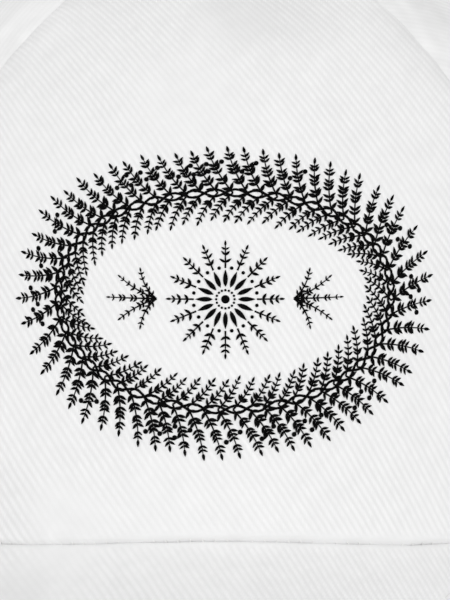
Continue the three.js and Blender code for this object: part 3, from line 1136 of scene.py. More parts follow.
# %% The peak's plan
ROOT_TUCK = 0.6 * MM
EDGE_SAMPLES = 1600


def peak_edge(share):
    """A point of the peak's outline as x and forward, and the way it faces there in plan."""
    depth = PEAK_LENGTH + PEAK_WIDEST_BACK
    along = abs(share)
    turn = min(along / CORNER_SHARE, 1) * PEAK_CORNER
    start = atan2(-PEAK_HALF_WIDTH * cos(turn), depth * sin(turn))
    turned = start + max(along - CORNER_SHARE, 0) / (1 - CORNER_SHARE) * CORNER_TURN
    x = PEAK_HALF_WIDTH * sin(turn) + CORNER_RADIUS * (cos(turned) - cos(start))
    back = CORNER_RADIUS * (sin(turned) - sin(start))
    forward = FRONT_REACH - PEAK_WIDEST_BACK + depth * cos(turn) - back
    side = copysign(1, share)
    return side * x, forward, side * cos(turned), -sin(turned)


def peak_root(share):
    angle = share * PEAK_ROOT
    r = plan_radius(angle) - ROOT_TUCK
    return r * sin(angle), r * cos(angle)


def search_tree(points):
    tree = kdtree.KDTree(len(points))
    for i, (x, forward) in enumerate(points):
        tree.insert((x, forward, 0), i)
    tree.balance()
    return tree


shares = [2 * i / EDGE_SAMPLES - 1 for i in range(EDGE_SAMPLES + 1)]
edge_tree = search_tree([peak_edge(s)[:2] for s in shares])
root_tree = search_tree([peak_root(s) for s in shares])
print("peak's edge and root:", len(shares), "places each")

# %% The peak's two surfaces
EDGE_ROUND = PEAK_THICKNESS / 2
ROOT_ROUND = 0.4 * MM
ROOT_ROLL = 1.5 * MM
PLY_WAVE_HEIGHT = 0.1 * MM
PLY_WAVE_SIZE = 16 * MM
PLY_WAVE_START = 3 * MM
PLY_WAVE_SEED = 3
FIRST_ROW = 4.5 * MM
ROW_SPACING = 6 * MM
ROWS = [FIRST_ROW + i * ROW_SPACING for i in range(6)]
ROW_SINK = 0.3 * MM
ROW_WIDTH = 0.7 * MM
ROW_FADE = (2 * MM, 5 * MM)
PEAK_PUCKER_SEED = 5.1


def peak_surface(x, forward, under):
    """A point of the upper or under cloth over a place in plan."""
    to_edge = edge_tree.find((x, forward, 0))[2]
    to_root = root_tree.find((x, forward, 0))[2]
    half = PEAK_THICKNESS / 2
    swell = half * sqrt(1 - curl(to_edge, EDGE_ROUND))
    swell *= sqrt(1 - curl(to_root, ROOT_ROUND))
    for row in ROWS:
        swell -= ROW_SINK * bell(to_edge, row, ROW_WIDTH) * smooth(to_root, *ROW_FADE)
    uneven = noise.noise(Vector((x / PLY_WAVE_SIZE, forward / PLY_WAVE_SIZE, PLY_WAVE_SEED + under)))
    swell += PLY_WAVE_HEIGHT * uneven * clamp(to_edge / PLY_WAVE_START)
    if not under:
        swell -= TUCK_DEPTH * curl(to_root, ROOT_ROLL)
        swell += pucker(to_root, x, PEAK_PUCKER_SEED, PEAK_PUCKER_HEIGHT)
    middle = peak_top(x, forward) - half
    return Vector((x, AXIS_Y - forward, middle - swell if under else middle + swell))


top, below = (peak_surface(0, FRONT_REACH + PEAK_LENGTH / 2, under) for under in (False, True))
print("peak's thickness halfway out, in mm:", round((top - below).z / MM, 2))


# %% The peak's grid
PEAK_CROWDING = 0.85
PEAK_GRAIN = radians(11.7)
PEAK_STRETCH = 1.095


def peak_plan(u, v):
    """u runs from side to side. v runs out over the top to the edge at a half, and back below."""
    share = 2 * u - 1
    out = eased(1 - abs(2 * v - 1), PEAK_CROWDING)
    rx, rf = peak_root(share)
    ex, ef = peak_edge(share)[:2]
    return mix(rx, ex, out), mix(rf, ef, out)


def peak_place(u, v):
    """Upper cloth up to half of v, under cloth after it. The first and last rows are one line, the root."""
    upper, lower = (peak_surface(*peak_plan(u, v), under) for under in (False, True))
    if v in (0, 1):
        return (upper + lower) / 2
    return lower if v > 0.5 else upper


def peak_cloth(u, v):
    x, forward = peak_plan(u, v)
    y = -forward * hypot(1, PEAK_SLOPE)
    c, s = cos(PEAK_GRAIN) / PEAK_STRETCH, sin(PEAK_GRAIN) / PEAK_STRETCH
    return c * x - s * y, s * x + c * y


# Painted light on the peak beside its seam with the crown, and a painted shadow in the fold right at the
# seam.
ROOT_LIGHT = -0.4
ROOT_LIGHT_REACH = 2 * MM
FOLD_SHADE = 0.55
FOLD_REACH = (0.8 * MM, 1.7 * MM)


def peak_finish(u, v):
    x, forward = peak_plan(u, v)
    to_root = root_tree.find((x, forward, 0))[2]
    point = Vector((x, AXIS_Y - forward, peak_top(x, forward)))
    # The cloth's random tone and painted spots, with painted light beside the seam.
    shade = shade_at(point) + ROOT_LIGHT * fade(to_root, ROOT_LIGHT_REACH)
    # Painted shadow in the fold at the seam.
    shade += FOLD_SHADE * (1 - smooth(to_root, *FOLD_REACH))
    return flatness_at(point, [(to_root, PEAK_SEAM_REACH, PEAK_SEAM_FLATNESS)]), shade


# %% Make the peak
PEAK_GRID = (180, 320)
SAME_POINT = 1e-6


def merge_points(bm):
    bmesh.ops.remove_doubles(bm, verts=bm.verts, dist=SAME_POINT)


def fill_holes(bm):
    """Joins points that coincide, fills the holes that are left, and says how many edges were open."""
    merge_points(bm)
    open_edges = [e for e in bm.edges if e.is_boundary]
    bmesh.ops.holes_fill(bm, edges=open_edges, sides=0)
    return len(open_edges)


def closed_object(name, bm, material):
    """A new object from faces that close up, all turned outwards."""
    bmesh.ops.recalc_face_normals(bm, faces=bm.faces)
    return new_object(name, bm, material)


def make_peak():
    bm = sheet_grid(*PEAK_GRID, peak_place, peak_cloth, finish=peak_finish)
    print("peak's open edges at its two corners:", fill_holes(bm))
    bmesh.ops.triangulate(bm, faces=[f for f in bm.faces if len(f.verts) > 4])
    return closed_object("peak_cloth", bm, DRILL)


wear(make_peak(), "drill", "visor")


# %% [markdown]
# ## Rows of stitching on the peak
#
# Six rows run parallel to the edge and end in the crown's seam. Each row is the outline moved inwards by
# its distance, and only the stretch in front of the crown is sewn. Upper and lower rows lie over each
# other, as one needle makes both.

# %% Sew the peak
SLOPE_LOOK = 0.3 * MM
STOP_AT_CROWN = 1.5 * MM


def inside_edge(share, inward):
    x, forward, nx, nf = peak_edge(share)
    return x - nx * inward, forward - nf * inward


def row_spot(share, inward, under):
    x, forward = inside_edge(share, inward)
    at = peak_surface(x, forward, under)
    ahead = peak_surface(x, forward + SLOPE_LOOK, under) - at
    aside = peak_surface(x + SLOPE_LOOK, forward, under) - at
    normal = ahead.cross(aside).normalized()
    return at, -normal if normal.z * (-1 if under else 1) < 0 else normal


def on_peak(share, inward):
    if inward > CORNER_RADIUS and abs(share) > CORNER_SHARE:
        return False
    x, forward = inside_edge(share, inward)
    return hypot(x, forward) > plan_radius(atan2(x, forward)) + STOP_AT_CROWN


def peak_row(inward, under):
    sewn = [s for s in shares if on_peak(s, inward)]
    low, high = min(sewn), max(sewn)
    return lambda t: row_spot(mix(low, high, t), inward, under)


both_sides = [peak_row(inward, under) for inward in ROWS for under in (False, True)]
sew_rows("peak_stitches", both_sides)


# %% [markdown]
# The seam between crown and peak pulls open a little, and its thread shows in the gap as fine short bars.

# %% Thread in the peak's seam
BARS = 84
BARS_SPAN = 0.97
BAR_SIZE = (0.45, 0.7, 0.7, 1)
BAR_DEPTH = 0.32 * MM
BAR_LOOK = 0.5 * MM


def sew_gap():
    bm = bmesh.new()
    for k in range(BARS):
        angle = mix(-PEAK_ROOT, PEAK_ROOT, (k + 0.5) / BARS) * BARS_SPAN
        low, high = ((angle, rise_at_height(angle, PEAK_THICKNESS + h)) for h in (0, BAR_LOOK))
        upward = crown(*high) - crown(*low)
        add_copy(bm, SPINDLE, facing(*under_crown(low, BAR_DEPTH), upward) @ Matrix.Diagonal(BAR_SIZE))
    return new_object("peak_seam_stitches", bm, THREAD)


wear(sew_gap(), "thread")

# %% [markdown]
# ## The button
#
# The button is a metal cap covered in the same drill, which is gathered under its rim. A profile is spun
# round the crown's axis, and shallow pleats are pressed into its skirt.

# %% Make the button
BUTTON_RADIUS = 7.5 * MM
BUTTON_HEIGHT = 4.4 * MM
BUTTON_SEAT = CROWN_HEIGHT + 0.1 * MM
BUTTON_FOOT = BUTTON_SEAT - 0.6 * MM
FOOT_SHARE = 0.93
BUTTON_STEPS = 14
SHOULDER = (0.7, 0.9)
SPIN_STEPS = 144
PLEATS = 18
PLEAT_DEPTH = 0.16 * MM
SKIRT_HEIGHT = 2.2 * MM


def spin_round(bm, geometry, steps, centre=(0, 0, 0)):
    """Spins a profile once round an upright axis."""
    bmesh.ops.spin(
        bm, geom=geometry, cent=centre, axis=(0, 0, 1), angle=tau, steps=steps, use_merge=True
    )
    merge_points(bm)


def make_button():
    bm = bmesh.new()
    profile = [(0, BUTTON_FOOT), (BUTTON_RADIUS * FOOT_SHARE, BUTTON_FOOT)]
    for i in range(BUTTON_STEPS + 1):
        turn = i / BUTTON_STEPS * pi / 2
        r = BUTTON_RADIUS * cos(turn) ** SHOULDER[0] if i < BUTTON_STEPS else 0
        profile.append((r, BUTTON_SEAT + BUTTON_HEIGHT * sin(turn) ** SHOULDER[1]))
    verts = [bm.verts.new((r, AXIS_Y, z)) for r, z in profile]
    edges = [bm.edges.new(pair) for pair in zip(verts, verts[1:])]
    spin_round(bm, verts + edges, SPIN_STEPS, (0, AXIS_Y, 0))
    for v in bm.verts:
        flat = Vector((v.co.x, v.co.y - AXIS_Y, 0))
        skirt = 1 - clamp((v.co.z - BUTTON_SEAT) / SKIRT_HEIGHT)
        fold = PLEAT_DEPTH * skirt * cos(PLEATS * atan2(flat.y, flat.x))
        v.co += flat.normalized() * fold if flat.length > BUTTON_RADIUS / 2 else Vector()
    map_cloth(bm, lambda v: v.co.xy)
    return closed_object("button_cloth", bm, DRILL)


wear(make_button(), "drill", "top_button")


# %% [markdown]
# ## Eyelets
#
# A sewn eyelet is a ring of thread wound over the edge of its hole. A small round section is spun into a
# ring, which is pressed flat, and a wave along the ring leaves the ridges of the thread.

# %% Make the eyelets
EYELET_RADIUS = 3.5 * MM
EYELET_HALF = 1.4 * MM
EYELET_SINK = 0.35 * MM
EYELET_FLAT = 0.72
WRAPS = 42
STEPS_OF_WRAP = 4
RIDGE = 0.1


def make_eyelet(name, angle):
    bm = bmesh.new()
    section = Matrix.Translation((EYELET_RADIUS, 0, 0)) @ Matrix.Rotation(pi / 2, 4, "X")
    bmesh.ops.create_circle(bm, segments=12, radius=EYELET_HALF, matrix=section)
    spin_round(bm, bm.verts[:] + bm.edges[:], WRAPS * STEPS_OF_WRAP)
    for v in bm.verts:
        core = Vector((v.co.x, v.co.y, 0)).normalized() * EYELET_RADIUS
        ridge = 1 - RIDGE + RIDGE * abs(cos(atan2(v.co.y, v.co.x) * WRAPS / 2))
        v.co = core + (v.co - core) * ridge
        v.co.z *= EYELET_FLAT
    smooth_faces(bm)
    bm.transform(facing(*under_crown((angle, EYELET_RISE), EYELET_SINK)))
    return closed_object(name, bm, THREAD)


for side in ("left", "right"):
    for place, gores in (("side", SIDES), ("back", BACKS)):
        name = f"eyelet_{place}_{side}"
        wear(make_eyelet(name + "_thread", gores[side].middle), "thread", name)


# %% [markdown]
# ## Inside the crown
#
# Inside, a stiffening cloth backs the front panel, a tape covers each seam, and a band goes round the
# rim. They are sheets a set depth below the crown's surface, so one helper makes them all, and another
# gives the routes of their stitches at such a depth.

# %% Sheets and stitches below the crown
CLEARANCE = 0.35 * MM
LINING_DEPTH = 1.2 * MM + CLEARANCE


def inner_sheet(name, node, slot, material, grid, spot, depth, thickness, rounding, flat):
    """A sheet at depth(angle) below the crown, over spot(u, v), with its size when flat as its map."""
    def place(u, v):
        here = spot(u, v)
        return under_crown(here, depth(here[0]))[0]

    bm = sheet_grid(*grid, place, lambda u, v: (u * flat[0], v * flat[1]))
    piece = new_object(name, bm, material)
    thicken(piece, thickness, rounding)
    return wear(piece, slot, node)


def route_at(spot, depth, side=1):
    """A route at a depth below the crown, along spot(t). A side of -1 faces the inside."""
    def route(t):
        point, normal = under_crown(spot(t), depth)
        return point, side * normal

    return route


def at_lining(angle):
    return LINING_DEPTH


# %% The lining
RIM_CLEAR = 1 * MM
LINING_THICKNESS = 0.6 * MM
LINING_TOP_RADIUS = 13.5 * MM
LINING_FLAT = (140 * MM, 150 * MM)
TAPE_HALF_WIDTH = 5.5 * MM


def lining_spot(u, v):
    whole = mix(-FRONT_SEAM, FRONT_SEAM, u)
    rise = mix(rise_at_height(whole, RIM_CLEAR), rise_at_radius(whole, LINING_TOP_RADIUS), v)
    edge = FRONT_SEAM - (TAPE_HALF_WIDTH + CLEARANCE) / radius_at(FRONT_SEAM, rise)
    return mix(-edge, edge, u), rise


inner_sheet(
    "front_lining_cloth", "front_lining", "lining", LINING, (60, 60), lining_spot, at_lining,
    LINING_THICKNESS, 0, LINING_FLAT,
)


# %% The tapes
TAPE_THICKNESS = 0.7 * MM
TAPE_TOP_RADIUS = 12 * MM
TAPE_EDGE = 0.2 * MM
TAPE_FLAT = (2 * TAPE_HALF_WIDTH, 150 * MM)
TAPE_FACE = LINING_DEPTH + TAPE_THICKNESS
TAPE_ROWS = (0.14, 0.86)
TAPE_MARGIN = 0.01
BACK_TAPE_GAP = 1.5 * MM
BINDING_WIDTH = 8 * MM


def tape_spot(angle, start_height):
    def spot(u, v):
        rise = mix(rise_at_height(angle, start_height), rise_at_radius(angle, TAPE_TOP_RADIUS), v)
        half = TAPE_HALF_WIDTH / radius_at(angle, rise)
        return angle + mix(-half, half, u), rise

    return spot


def along_tape(spot, across):
    return route_at(lambda t: spot(across, mix(TAPE_MARGIN, 1 - TAPE_MARGIN, t)), TAPE_FACE, -1)


def make_tape(node, angle, start_height=RIM_CLEAR):
    spot = tape_spot(angle, start_height)
    inner_sheet(
        node + "_cloth", node, "tape", TAPE, (8, 60), spot, at_lining, TAPE_THICKNESS,
        TAPE_EDGE, TAPE_FLAT,
    )
    sew_rows(node + "_stitches", [along_tape(spot, across) for across in TAPE_ROWS])


for side, sign in (("left", 1), ("right", -1)):
    make_tape(f"seam_tape_front_{side}", sign * FRONT_SEAM)
    make_tape(f"seam_tape_side_{side}", sign * SIDE_SEAM)
make_tape("seam_tape_back", BACK_SEAM, OPENING_HEIGHT + BINDING_WIDTH + BACK_TAPE_GAP)


# %% The band
BAND_DEPTH = LINING_DEPTH + 0.8 * MM + CLEARANCE
BAND_THICKNESS = 1.4 * MM
BAND_HEIGHT = 31 * MM
BAND_END = radians(154.5)
BAND_EDGE = 0.5 * MM
BAND_FLAT = (500 * MM, BAND_HEIGHT)
BAND_ROWS = (0.1, 0.9)
BAND_MARGIN = 0.005


def band_spot(u, v):
    angle = mix(-BAND_END, BAND_END, u)
    return angle, rise_at_height(angle, mix(RIM_CLEAR, BAND_HEIGHT, v))


def along_band(up):
    face = BAND_DEPTH + BAND_THICKNESS
    return route_at(lambda t: band_spot(mix(BAND_MARGIN, 1 - BAND_MARGIN, t), up), face, -1)


inner_sheet(
    "sweatband_cloth", "sweatband", "band", BAND, (220, 14), band_spot, lambda angle: BAND_DEPTH,
    BAND_THICKNESS, BAND_EDGE, BAND_FLAT,
)
sew_rows("sweatband_stitches", [along_band(up) for up in BAND_ROWS])


# %% [markdown]
# ## The back opening and the turned rim
#
# The half-moon is bound inside with tape and has a rolled edge. The crown's lower edge is turned in and
# sewn to the band, and a roll of the same drill fills that turn between the panels and the band, so that
# no slit shows from below.

# %% The binding and its stitches
BINDING_FOOT = 23 * MM
BINDING_FLAT = (130 * MM, BINDING_WIDTH)
BINDING_ROW = 0.75
OPENING_ROW_START = 0.12
OPENING_ROW_OUT = 6 * MM
ON_CLOTH = -0.05 * MM
ANGLE_ROUNDS = 12


def back_angle(x, height):
    """The angle at which the back of the crown has an x at a height."""
    angle = pi
    for _ in range(ANGLE_ROUNDS):
        angle = pi - asin(clamp(x / radius_at(angle, rise_at_height(angle, height)), -1, 1))
    return angle


def arch_spot(turn, margin):
    x, height = arch(turn, margin)
    angle = back_angle(x, height)
    return angle, rise_at_height(angle, height)


def binding_spot(u, v):
    foot = asin((BINDING_FOOT / OPENING_HEIGHT) ** (OPENING_FULLNESS / 2))
    return arch_spot(mix(foot, pi - foot, u), v * BINDING_WIDTH)


inner_sheet(
    "opening_binding_cloth", "opening_binding", "tape", TAPE, (80, 6), binding_spot, at_lining,
    TAPE_THICKNESS, TAPE_EDGE, BINDING_FLAT,
)


def row_over_arch(t):
    return arch_spot(mix(OPENING_ROW_START, pi - OPENING_ROW_START, t), OPENING_ROW_OUT)


def row_on_binding(t):
    return binding_spot(mix(TAPE_MARGIN, 1 - TAPE_MARGIN, t), BINDING_ROW)


sew_rows("opening_stitches", [
    route_at(row_over_arch, ON_CLOTH),
    route_at(row_on_binding, TAPE_FACE, -1),
])


# %% The rolled edge and the rim
EDGE_ROLL_RADIUS = 0.75 * MM
EDGE_ROLL_DEPTH = 0.5 * MM
EDGE_ROLL_OUT = 0.2 * MM
RIM_ROLL_RADIUS = 0.85 * MM


def swept_tube(name, route, radius, steps, sides):
    """A closed tube of drill: a circle carried along a route of points and normals, with its ends closed."""
    bm = bmesh.new()
    bmesh.ops.create_grid(bm, x_segments=sides, y_segments=steps, size=0.5)
    places = [route(i / steps) for i in range(steps + 1)]
    length = running_lengths([p for p, n in places])[-1]
    map_cloth(bm, lambda v: ((v.co.x + 0.5) * tau * radius, (v.co.y + 0.5) * length))
    for v in bm.verts:
        i = round((v.co.y + 0.5) * steps)
        turn = (v.co.x + 0.5) * tau
        point, normal = places[i]
        ahead = (places[min(i + 1, steps)][0] - places[max(i - 1, 0)][0]).normalized()
        aside = ahead.cross(normal).normalized()
        v.co = point + radius * (cos(turn) * normal + sin(turn) * aside)
    fill_holes(bm)
    return wear(closed_object(name, bm, DRILL), "drill")


def rim_spot(t):
    angle = mix(-BAND_END, BAND_END, t)
    return angle, rise_at_height(angle, RIM_CLEAR)


arch_roll = route_at(lambda t: arch_spot(mix(0.0, pi, t), EDGE_ROLL_OUT), EDGE_ROLL_DEPTH)
swept_tube("opening_edge", arch_roll, EDGE_ROLL_RADIUS, 120, 12)
swept_tube("rim_turn_cloth", route_at(rim_spot, PANEL_THICKNESS + RIM_ROLL_RADIUS), RIM_ROLL_RADIUS, 240, 10)

# %% [markdown]
# ## The strap
#
# Two tabs close the opening. The left one laps over the right one, which carries the loop side of a
# hook-and-loop tape and bends out of the way below the lap. The tabs follow the same ellipse as the rim.

# %% Make the strap
STRAP_WIDTH = 20 * MM
STRAP_THICKNESS = 0.8 * MM
STRAP_SEWN = radians(149)
STRAP_LAP = radians(10)
STRAP_RAMP = radians(10)
STRAP_END_ROUND = radians(4)
STRAP_END_SHARE = 0.55
LAP_END = pi + STRAP_LAP + radians(0.7)
ROW_INSET = (0.03, 0.11)
ROW_START = 0.1
STRAP_EDGE = 0.25 * MM
STRAP_FLAT = (70 * MM, STRAP_WIDTH)


def strap_spot(start, end):
    """A tab from its sewn end to its free end, whose corners are rounded off."""
    def spot(u, v):
        angle = mix(start, end, u)
        narrow = mix(STRAP_END_SHARE, 1, sqrt(1 - curl(abs(end - angle), STRAP_END_ROUND)))
        height = RIM_CLEAR + STRAP_WIDTH * (0.5 + (v - 0.5) * narrow)
        return angle, rise_at_height(angle, height)

    return spot


def under_depth(angle):
    return LINING_DEPTH + (STRAP_THICKNESS + CLEARANCE) * (1 - smooth(angle, LAP_END, LAP_END + STRAP_RAMP))


def make_strap(name, node, slot, material, spot, depth):
    return inner_sheet(
        name, node, slot, material, (60, 10), spot, depth, STRAP_THICKNESS, STRAP_EDGE, STRAP_FLAT
    )


left_spot = strap_spot(STRAP_SEWN, pi + STRAP_LAP)
right_spot = strap_spot(tau - STRAP_SEWN, pi - STRAP_LAP)
make_strap("strap_left_cloth", "strap_left", "drill", DRILL, left_spot, at_lining)
right_strap = make_strap("strap_right_loop", "strap_right", "hook", HOOK, right_spot, under_depth)
right_strap.data.flip_normals()


def strap_row(t):
    """One row of stitching round the left tab, a little inside its edge."""
    turns, (inset_u, low) = t * 4, ROW_INSET
    end, high = 1 - inset_u, 1 - low
    corners = [(ROW_START, low), (end, low), (end, high), (ROW_START, high), (ROW_START, low)]
    i = min(int(turns), 3)
    (a, b), (c, d) = corners[i], corners[i + 1]
    return left_spot(mix(a, c, turns - i), mix(b, d, turns - i))


sew_rows("strap_stitches", [route_at(strap_row, LINING_DEPTH + ON_CLOTH)], steps=800)

# %% Button backing keeps its solid, with felt on it
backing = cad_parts["button_backing"]
backing.data.materials.clear()
backing.data.materials.append(FELT)
print(backing.name, "keeps its", len(backing.data.polygons), "faces")

# %% [markdown]
# ## The print
#
# The front carries a print in matt black. Its motif here is a plain botanical one: an oval wreath of
# leafy sprigs with a few berries, round a rosette of small leaves with a fan of sprigs on each side. A
# print is a skin of ink, so each leaf is a thin piece that follows the cloth a hair above it and shows
# the twill through its own bump. Laying the motif out on the flat panel and then carrying every point to
# the crown keeps it in shape.

# %% Place the print
PRINT_MIDDLE = 51.3 * MM
PRINT_ASIDE = 0.8 * MM
PRINT_LIFT = 0.09 * MM
PRINT_SKIN = 0.05 * MM
PRINT_LAYER = 0.003 * MM
PRINT_LAYERS = 17


def share_at_length(table, length):
    """The share of a table of running lengths at which it reaches a length."""
    low = clamp(bisect_right(table, length) - 1, 0, len(table) - 2)
    return (low + (length - table[low]) / (table[low + 1] - table[low])) / (len(table) - 1)


def print_spot(x, y):
    """Where a point of the flat motif lies: y runs up the front's middle line, and x across from it."""
    rise = share_at_length(FRONT.up, PRINT_MIDDLE + y)
    shrink = radius_at(0, rise) / plan_radius(0)
    share = share_at_length(FRONT.round, FRONT.centre + (PRINT_ASIDE + x) / shrink)
    return (share - 0.5) * pi, rise


def lay_print(name, bm):
    """Carries a flat motif, drawn in metres in x and y, onto the front panel."""
    for axis in (0, 1):
        places = [v.co[axis] for v in bm.verts]
        print(name, "flat, from", round(min(places), 4), "to", round(max(places), 4))
    found = {}

    def on_flat(v):
        found[v] = print_spot(v.co.x, v.co.y)
        return FRONT.cloth(*found[v])

    map_cloth(bm, on_flat)
    for v in bm.verts:
        v.co = dressed(FRONT, *found[v], lift=PRINT_LIFT + v.co.z)
    piece = new_object(name, bm, PRINT)
    thicken(piece, PRINT_SKIN)
    return wear(piece, "print")


# %% [markdown]
# Leaves that cross at the very same height would flicker through each other, so each shape gets its own
# hair of height. Counting the points drawn so far is enough to tell neighbours apart.

# %% Leaves, dots and stems
LEAF_END = 0.04


def layer_height(bm):
    return len(bm.verts) % PRINT_LAYERS * PRINT_LAYER


def make_leaf_shape():
    """A pointed leaf of unit length and width that starts at the origin and grows along X."""
    bm = bmesh.new()
    bmesh.ops.create_grid(bm, x_segments=6, y_segments=1, size=0.5)
    for v in bm.verts:
        along = v.co.x + 0.5
        belly = sin(pi * along ** 0.8) ** 0.9 if 0 < along < 1 else LEAF_END
        v.co = Vector((along, v.co.y * belly, 0))
    return new_mesh("leaf", bm)


def make_dot_shape():
    bm = bmesh.new()
    bmesh.ops.create_circle(bm, cap_ends=True, segments=12, radius=1)
    return new_mesh("dot", bm)


LEAF = make_leaf_shape()
DOT = make_dot_shape()
print("faces of a leaf and of a dot:", len(LEAF.polygons), len(DOT.polygons))


def add_leaf(bm, x, y, heading, length, width):
    place = Matrix.Translation((x, y, layer_height(bm))) @ Matrix.Rotation(heading, 4, "Z")
    add_copy(bm, LEAF, place @ Matrix.Diagonal((length, width, 1, 1)))


def add_dot(bm, x, y, radius):
    place = Matrix.Translation((x, y, layer_height(bm)))
    add_copy(bm, DOT, place @ Matrix.Diagonal((radius, radius, 1, 1)))


def add_stem(bm, points, width_start, width_end):
    """A thin tapering line through a few points."""
    count = len(points) - 1
    for v in bmesh.ops.create_grid(bm, x_segments=count, y_segments=1, size=0.5)["verts"]:
        i = round((v.co.x + 0.5) * count)
        a, b = points[max(i - 1, 0)], points[min(i + 1, count)]
        dx, dy = b[0] - a[0], b[1] - a[1]
        size = hypot(dx, dy)
        half = mix(width_start, width_end, i / count) * v.co.y
        v.co = Vector((points[i][0] - dy / size * half, points[i][1] + dx / size * half, 0))


# %% A sprig
STEM_STEPS = 12
STEM_WIDTHS = (0.36 * MM, 0.18 * MM)
LEAF_SIZES = (0.85, 1.15)
LEAF_SPREADS = (0.75, 1.05)
LEAF_SLIMS = (0.34, 0.44)
TIP_SHARE = 0.65
TIP_LEAF = (0.8, 0.32)
STALK_WIDTH = 0.16 * MM
STALK_LENGTH = 1.7 * MM
STALK_SPREAD = 1.3
STALK_BEND = 0.4
BERRY_RADIUS = 0.5 * MM


def curve_from(x, y, heading, length, bend, steps=STEM_STEPS):
    points = [(x, y)]
    for i in range(steps):
        heading += bend / steps
        x += cos(heading) * length / steps
        y += sin(heading) * length / steps
        points.append((x, y))
    return points, heading


def add_sprig(bm, rng, x, y, heading, length, bend, pairs, leaf, berries=False):
    """A curved stem with pairs of leaves, a leaf at its tip, and a pair of berries if it bears any."""
    points, tip_heading = curve_from(x, y, heading, length, bend)
    add_stem(bm, points, *STEM_WIDTHS)
    for k in range(pairs):
        share = (k + 1) / (pairs + 0.6)
        px, py = points[min(round(share * STEM_STEPS), STEM_STEPS - 1)]
        here = heading + bend * share
        size = leaf * mix(1.0, TIP_SHARE, share) * rng.uniform(*LEAF_SIZES)
        for side in (1, -1):
            spread = side * rng.uniform(*LEAF_SPREADS)
            add_leaf(bm, px, py, here + spread, size, size * rng.uniform(*LEAF_SLIMS))
    add_leaf(bm, *points[-1], tip_heading, leaf * TIP_LEAF[0], leaf * TIP_LEAF[1])
    if berries:
        x, y = points[STEM_STEPS * 2 // 3]
        for side in (1, -1):
            stalk = curve_from(x, y, heading + side * STALK_SPREAD, STALK_LENGTH, side * STALK_BEND, 3)[0]
            add_stem(bm, stalk, STALK_WIDTH, STALK_WIDTH)
            add_dot(bm, *stalk[-1], BERRY_RADIUS)


# %% The wreath
WREATH_HALF_WIDTH = 34.5 * MM
WREATH_HALF_HEIGHT = 21.6 * MM
WREATH_SPRIGS = 60
RING_STEPS = 240
RING_WIDTH = 0.5 * MM
TWINES = 26
TWINE_SWING = 0.75 * MM
BERRY_SHARE = 0.4
OUTER_LEAF = 1.9 * MM
OUTER_LENGTHS = (8.8, 10.0)
OUTER_TURNS = (0.82, 0.94)
OUTER_BEND = -0.35
INNER_LEAF = 1.55 * MM
INNER_LENGTHS = (6.2, 7.2)
INNER_TURNS = (0.66, 0.78)
INNER_BEND = 0.4


def wreath_ring(turn, out=0.0):
    """A point of the oval, moved out by a distance, and the heading of the oval there."""
    dx, dy = -WREATH_HALF_WIDTH * sin(turn), WREATH_HALF_HEIGHT * cos(turn)
    size = hypot(dx, dy)
    x = WREATH_HALF_WIDTH * cos(turn) + out * dy / size
    y = WREATH_HALF_HEIGHT * sin(turn) - out * dx / size
    return x, y, atan2(dy, dx)


def even_turns(count):
    """Turns that divide the oval into stretches of equal length."""
    turns = [i / RING_STEPS * tau for i in range(RING_STEPS + 1)]
    lengths = running_lengths([Vector(wreath_ring(turn)[:2]) for turn in turns])
    return [share_at_length(lengths, (k + 0.5) / count * lengths[-1]) * tau for k in range(count)]


def make_wreath():
    rng = random.Random(11)
    bm = bmesh.new()
    for strand in (1, -1):
        ring = []
        for i in range(RING_STEPS + 1):
            turn = i / RING_STEPS * tau
            ring.append(wreath_ring(turn, strand * TWINE_SWING * sin(TWINES * turn))[:2])
        add_stem(bm, ring, RING_WIDTH, RING_WIDTH)
    for turn in even_turns(WREATH_SPRIGS):
        x, y, ahead = wreath_ring(turn)
        outer, inner = rng.uniform(*OUTER_LENGTHS) * MM, rng.uniform(*INNER_LENGTHS) * MM
        heading, berries = ahead - rng.uniform(*OUTER_TURNS), rng.random() < BERRY_SHARE
        add_sprig(bm, rng, x, y, heading, outer, OUTER_BEND, 8, OUTER_LEAF, berries)
        add_sprig(bm, rng, x, y, ahead + rng.uniform(*INNER_TURNS), inner, INNER_BEND, 6, INNER_LEAF)
    return lay_print("print_wreath", bm)


# %% The rosette
PETALS = 16
HEART_RADIUS = 0.85 * MM
DOT_RING = 1.8 * MM
DOT_RADIUS = 0.24 * MM
PETAL_START = 2.5 * MM
PETAL_LENGTH = 3.4 * MM
PETAL_WIDTH = 0.95 * MM
BEAD_RING = 6.3 * MM
BEAD_RADIUS = 0.36 * MM
RAY_START = 6.2 * MM
RAY_LENGTH = 4.4 * MM
RAY_LEAF = 1.5 * MM
FAN_START = 13.6 * MM
FAN_SPRIGS = (
    (0, 9.4 * MM, 7), (0.3, 8.2 * MM, 6), (-0.3, 8.2 * MM, 6), (0.62, 6.2 * MM, 5), (-0.62, 6.2 * MM, 5)
)
FAN_BEND = 1.2
FAN_LEAF = 1.2 * MM


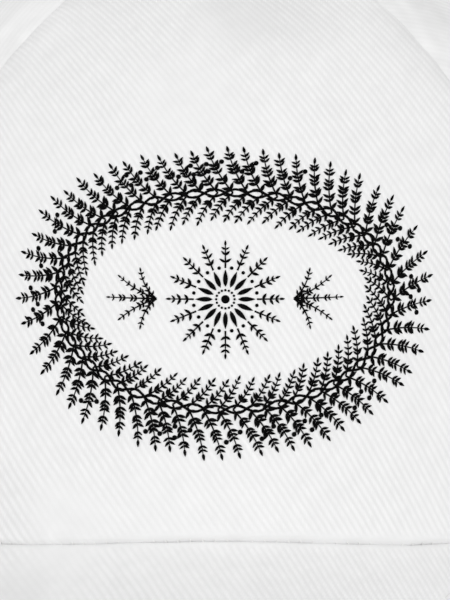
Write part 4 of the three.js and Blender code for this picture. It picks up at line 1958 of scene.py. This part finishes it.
def make_rosette():
    rng = random.Random(5)
    bm = bmesh.new()
    add_dot(bm, 0, 0, HEART_RADIUS)
    for i in range(PETALS):
        heading = i / PETALS * tau
        between = heading + pi / PETALS
        c, s = cos(heading), sin(heading)
        add_dot(bm, DOT_RING * c, DOT_RING * s, DOT_RADIUS)
        add_leaf(bm, PETAL_START * c, PETAL_START * s, heading, PETAL_LENGTH, PETAL_WIDTH)
        add_dot(bm, BEAD_RING * cos(between), BEAD_RING * sin(between), BEAD_RADIUS)
        add_sprig(bm, rng, RAY_START * c, RAY_START * s, heading, RAY_LENGTH, 0.0, 3, RAY_LEAF)
    for side in (0, pi):
        x = copysign(FAN_START, cos(side))
        for turn, length, pairs in FAN_SPRIGS:
            add_sprig(bm, rng, x, 0, side + turn, length, turn * FAN_BEND, pairs, FAN_LEAF)
    return lay_print("print_rosette", bm)


make_wreath()
make_rosette()

# %% [markdown]
# ## Studio
#
# The photograph is bright and nearly shadowless. A pale world lights the cap from everywhere, three large
# soft lights stand low in front of it and to its sides, and a faint one behind keeps its back from going
# grey. The tones are set with the plain Standard view, because white cloth has to come out white and not
# be pressed down to a grey by a filmic curve.

# %% Floor, world and lights
FLOOR_RADIUS = 4
FLOOR_TONE = 0.62
FLOOR_ROUGHNESS = 0.9
WORLD_STRENGTH = 0.605
LIGHT_AIM = Vector((0, 0, 60 * MM))
LIGHTS = (
    ("front", 0, 20, 1.6, 1.1, 5.3),
    ("left", -65, 18, 1.6, 0.9, 7.6),
    ("right", 65, 18, 1.6, 0.9, 7.6),
    ("back", 170, 45, 1.8, 0.9, 1.8),
)


def make_floor():
    bm = bmesh.new()
    bmesh.ops.create_circle(bm, cap_ends=True, segments=64, radius=FLOOR_RADIUS)
    material, tree, shader = start_material("floor", FLOOR_ROUGHNESS)
    tune(shader, {"Base Color": (FLOOR_TONE, FLOOR_TONE, FLOOR_TONE, 1)})
    new_object("floor", bm, material)


def add_light(name, azimuth, elevation, distance, size, power):
    """A square soft light that stands in a direction from the cap and faces it."""
    data = bpy.data.lights.new(name, "AREA")
    data.shape = "SQUARE"
    data.size = size
    data.energy = power
    light = add_to_scene(name, data)
    a, e = radians(azimuth), radians(elevation)
    direction = Vector((sin(a) * cos(e), -cos(a) * cos(e), sin(e)))
    light.location = LIGHT_AIM + distance * direction
    light.rotation_euler = direction.to_track_quat("Z", "Y").to_euler()
    print("light", name, "at", [round(part, 2) for part in light.location])


make_floor()
world = bpy.data.worlds.new("world")
bpy.context.scene.world = world
world.use_nodes = True
tune(world.node_tree.nodes["Background"], {"Color": (1, 1, 1, 1), "Strength": WORLD_STRENGTH})
for light in LIGHTS:
    add_light(*light)
bpy.context.scene.view_settings.view_transform = "Standard"
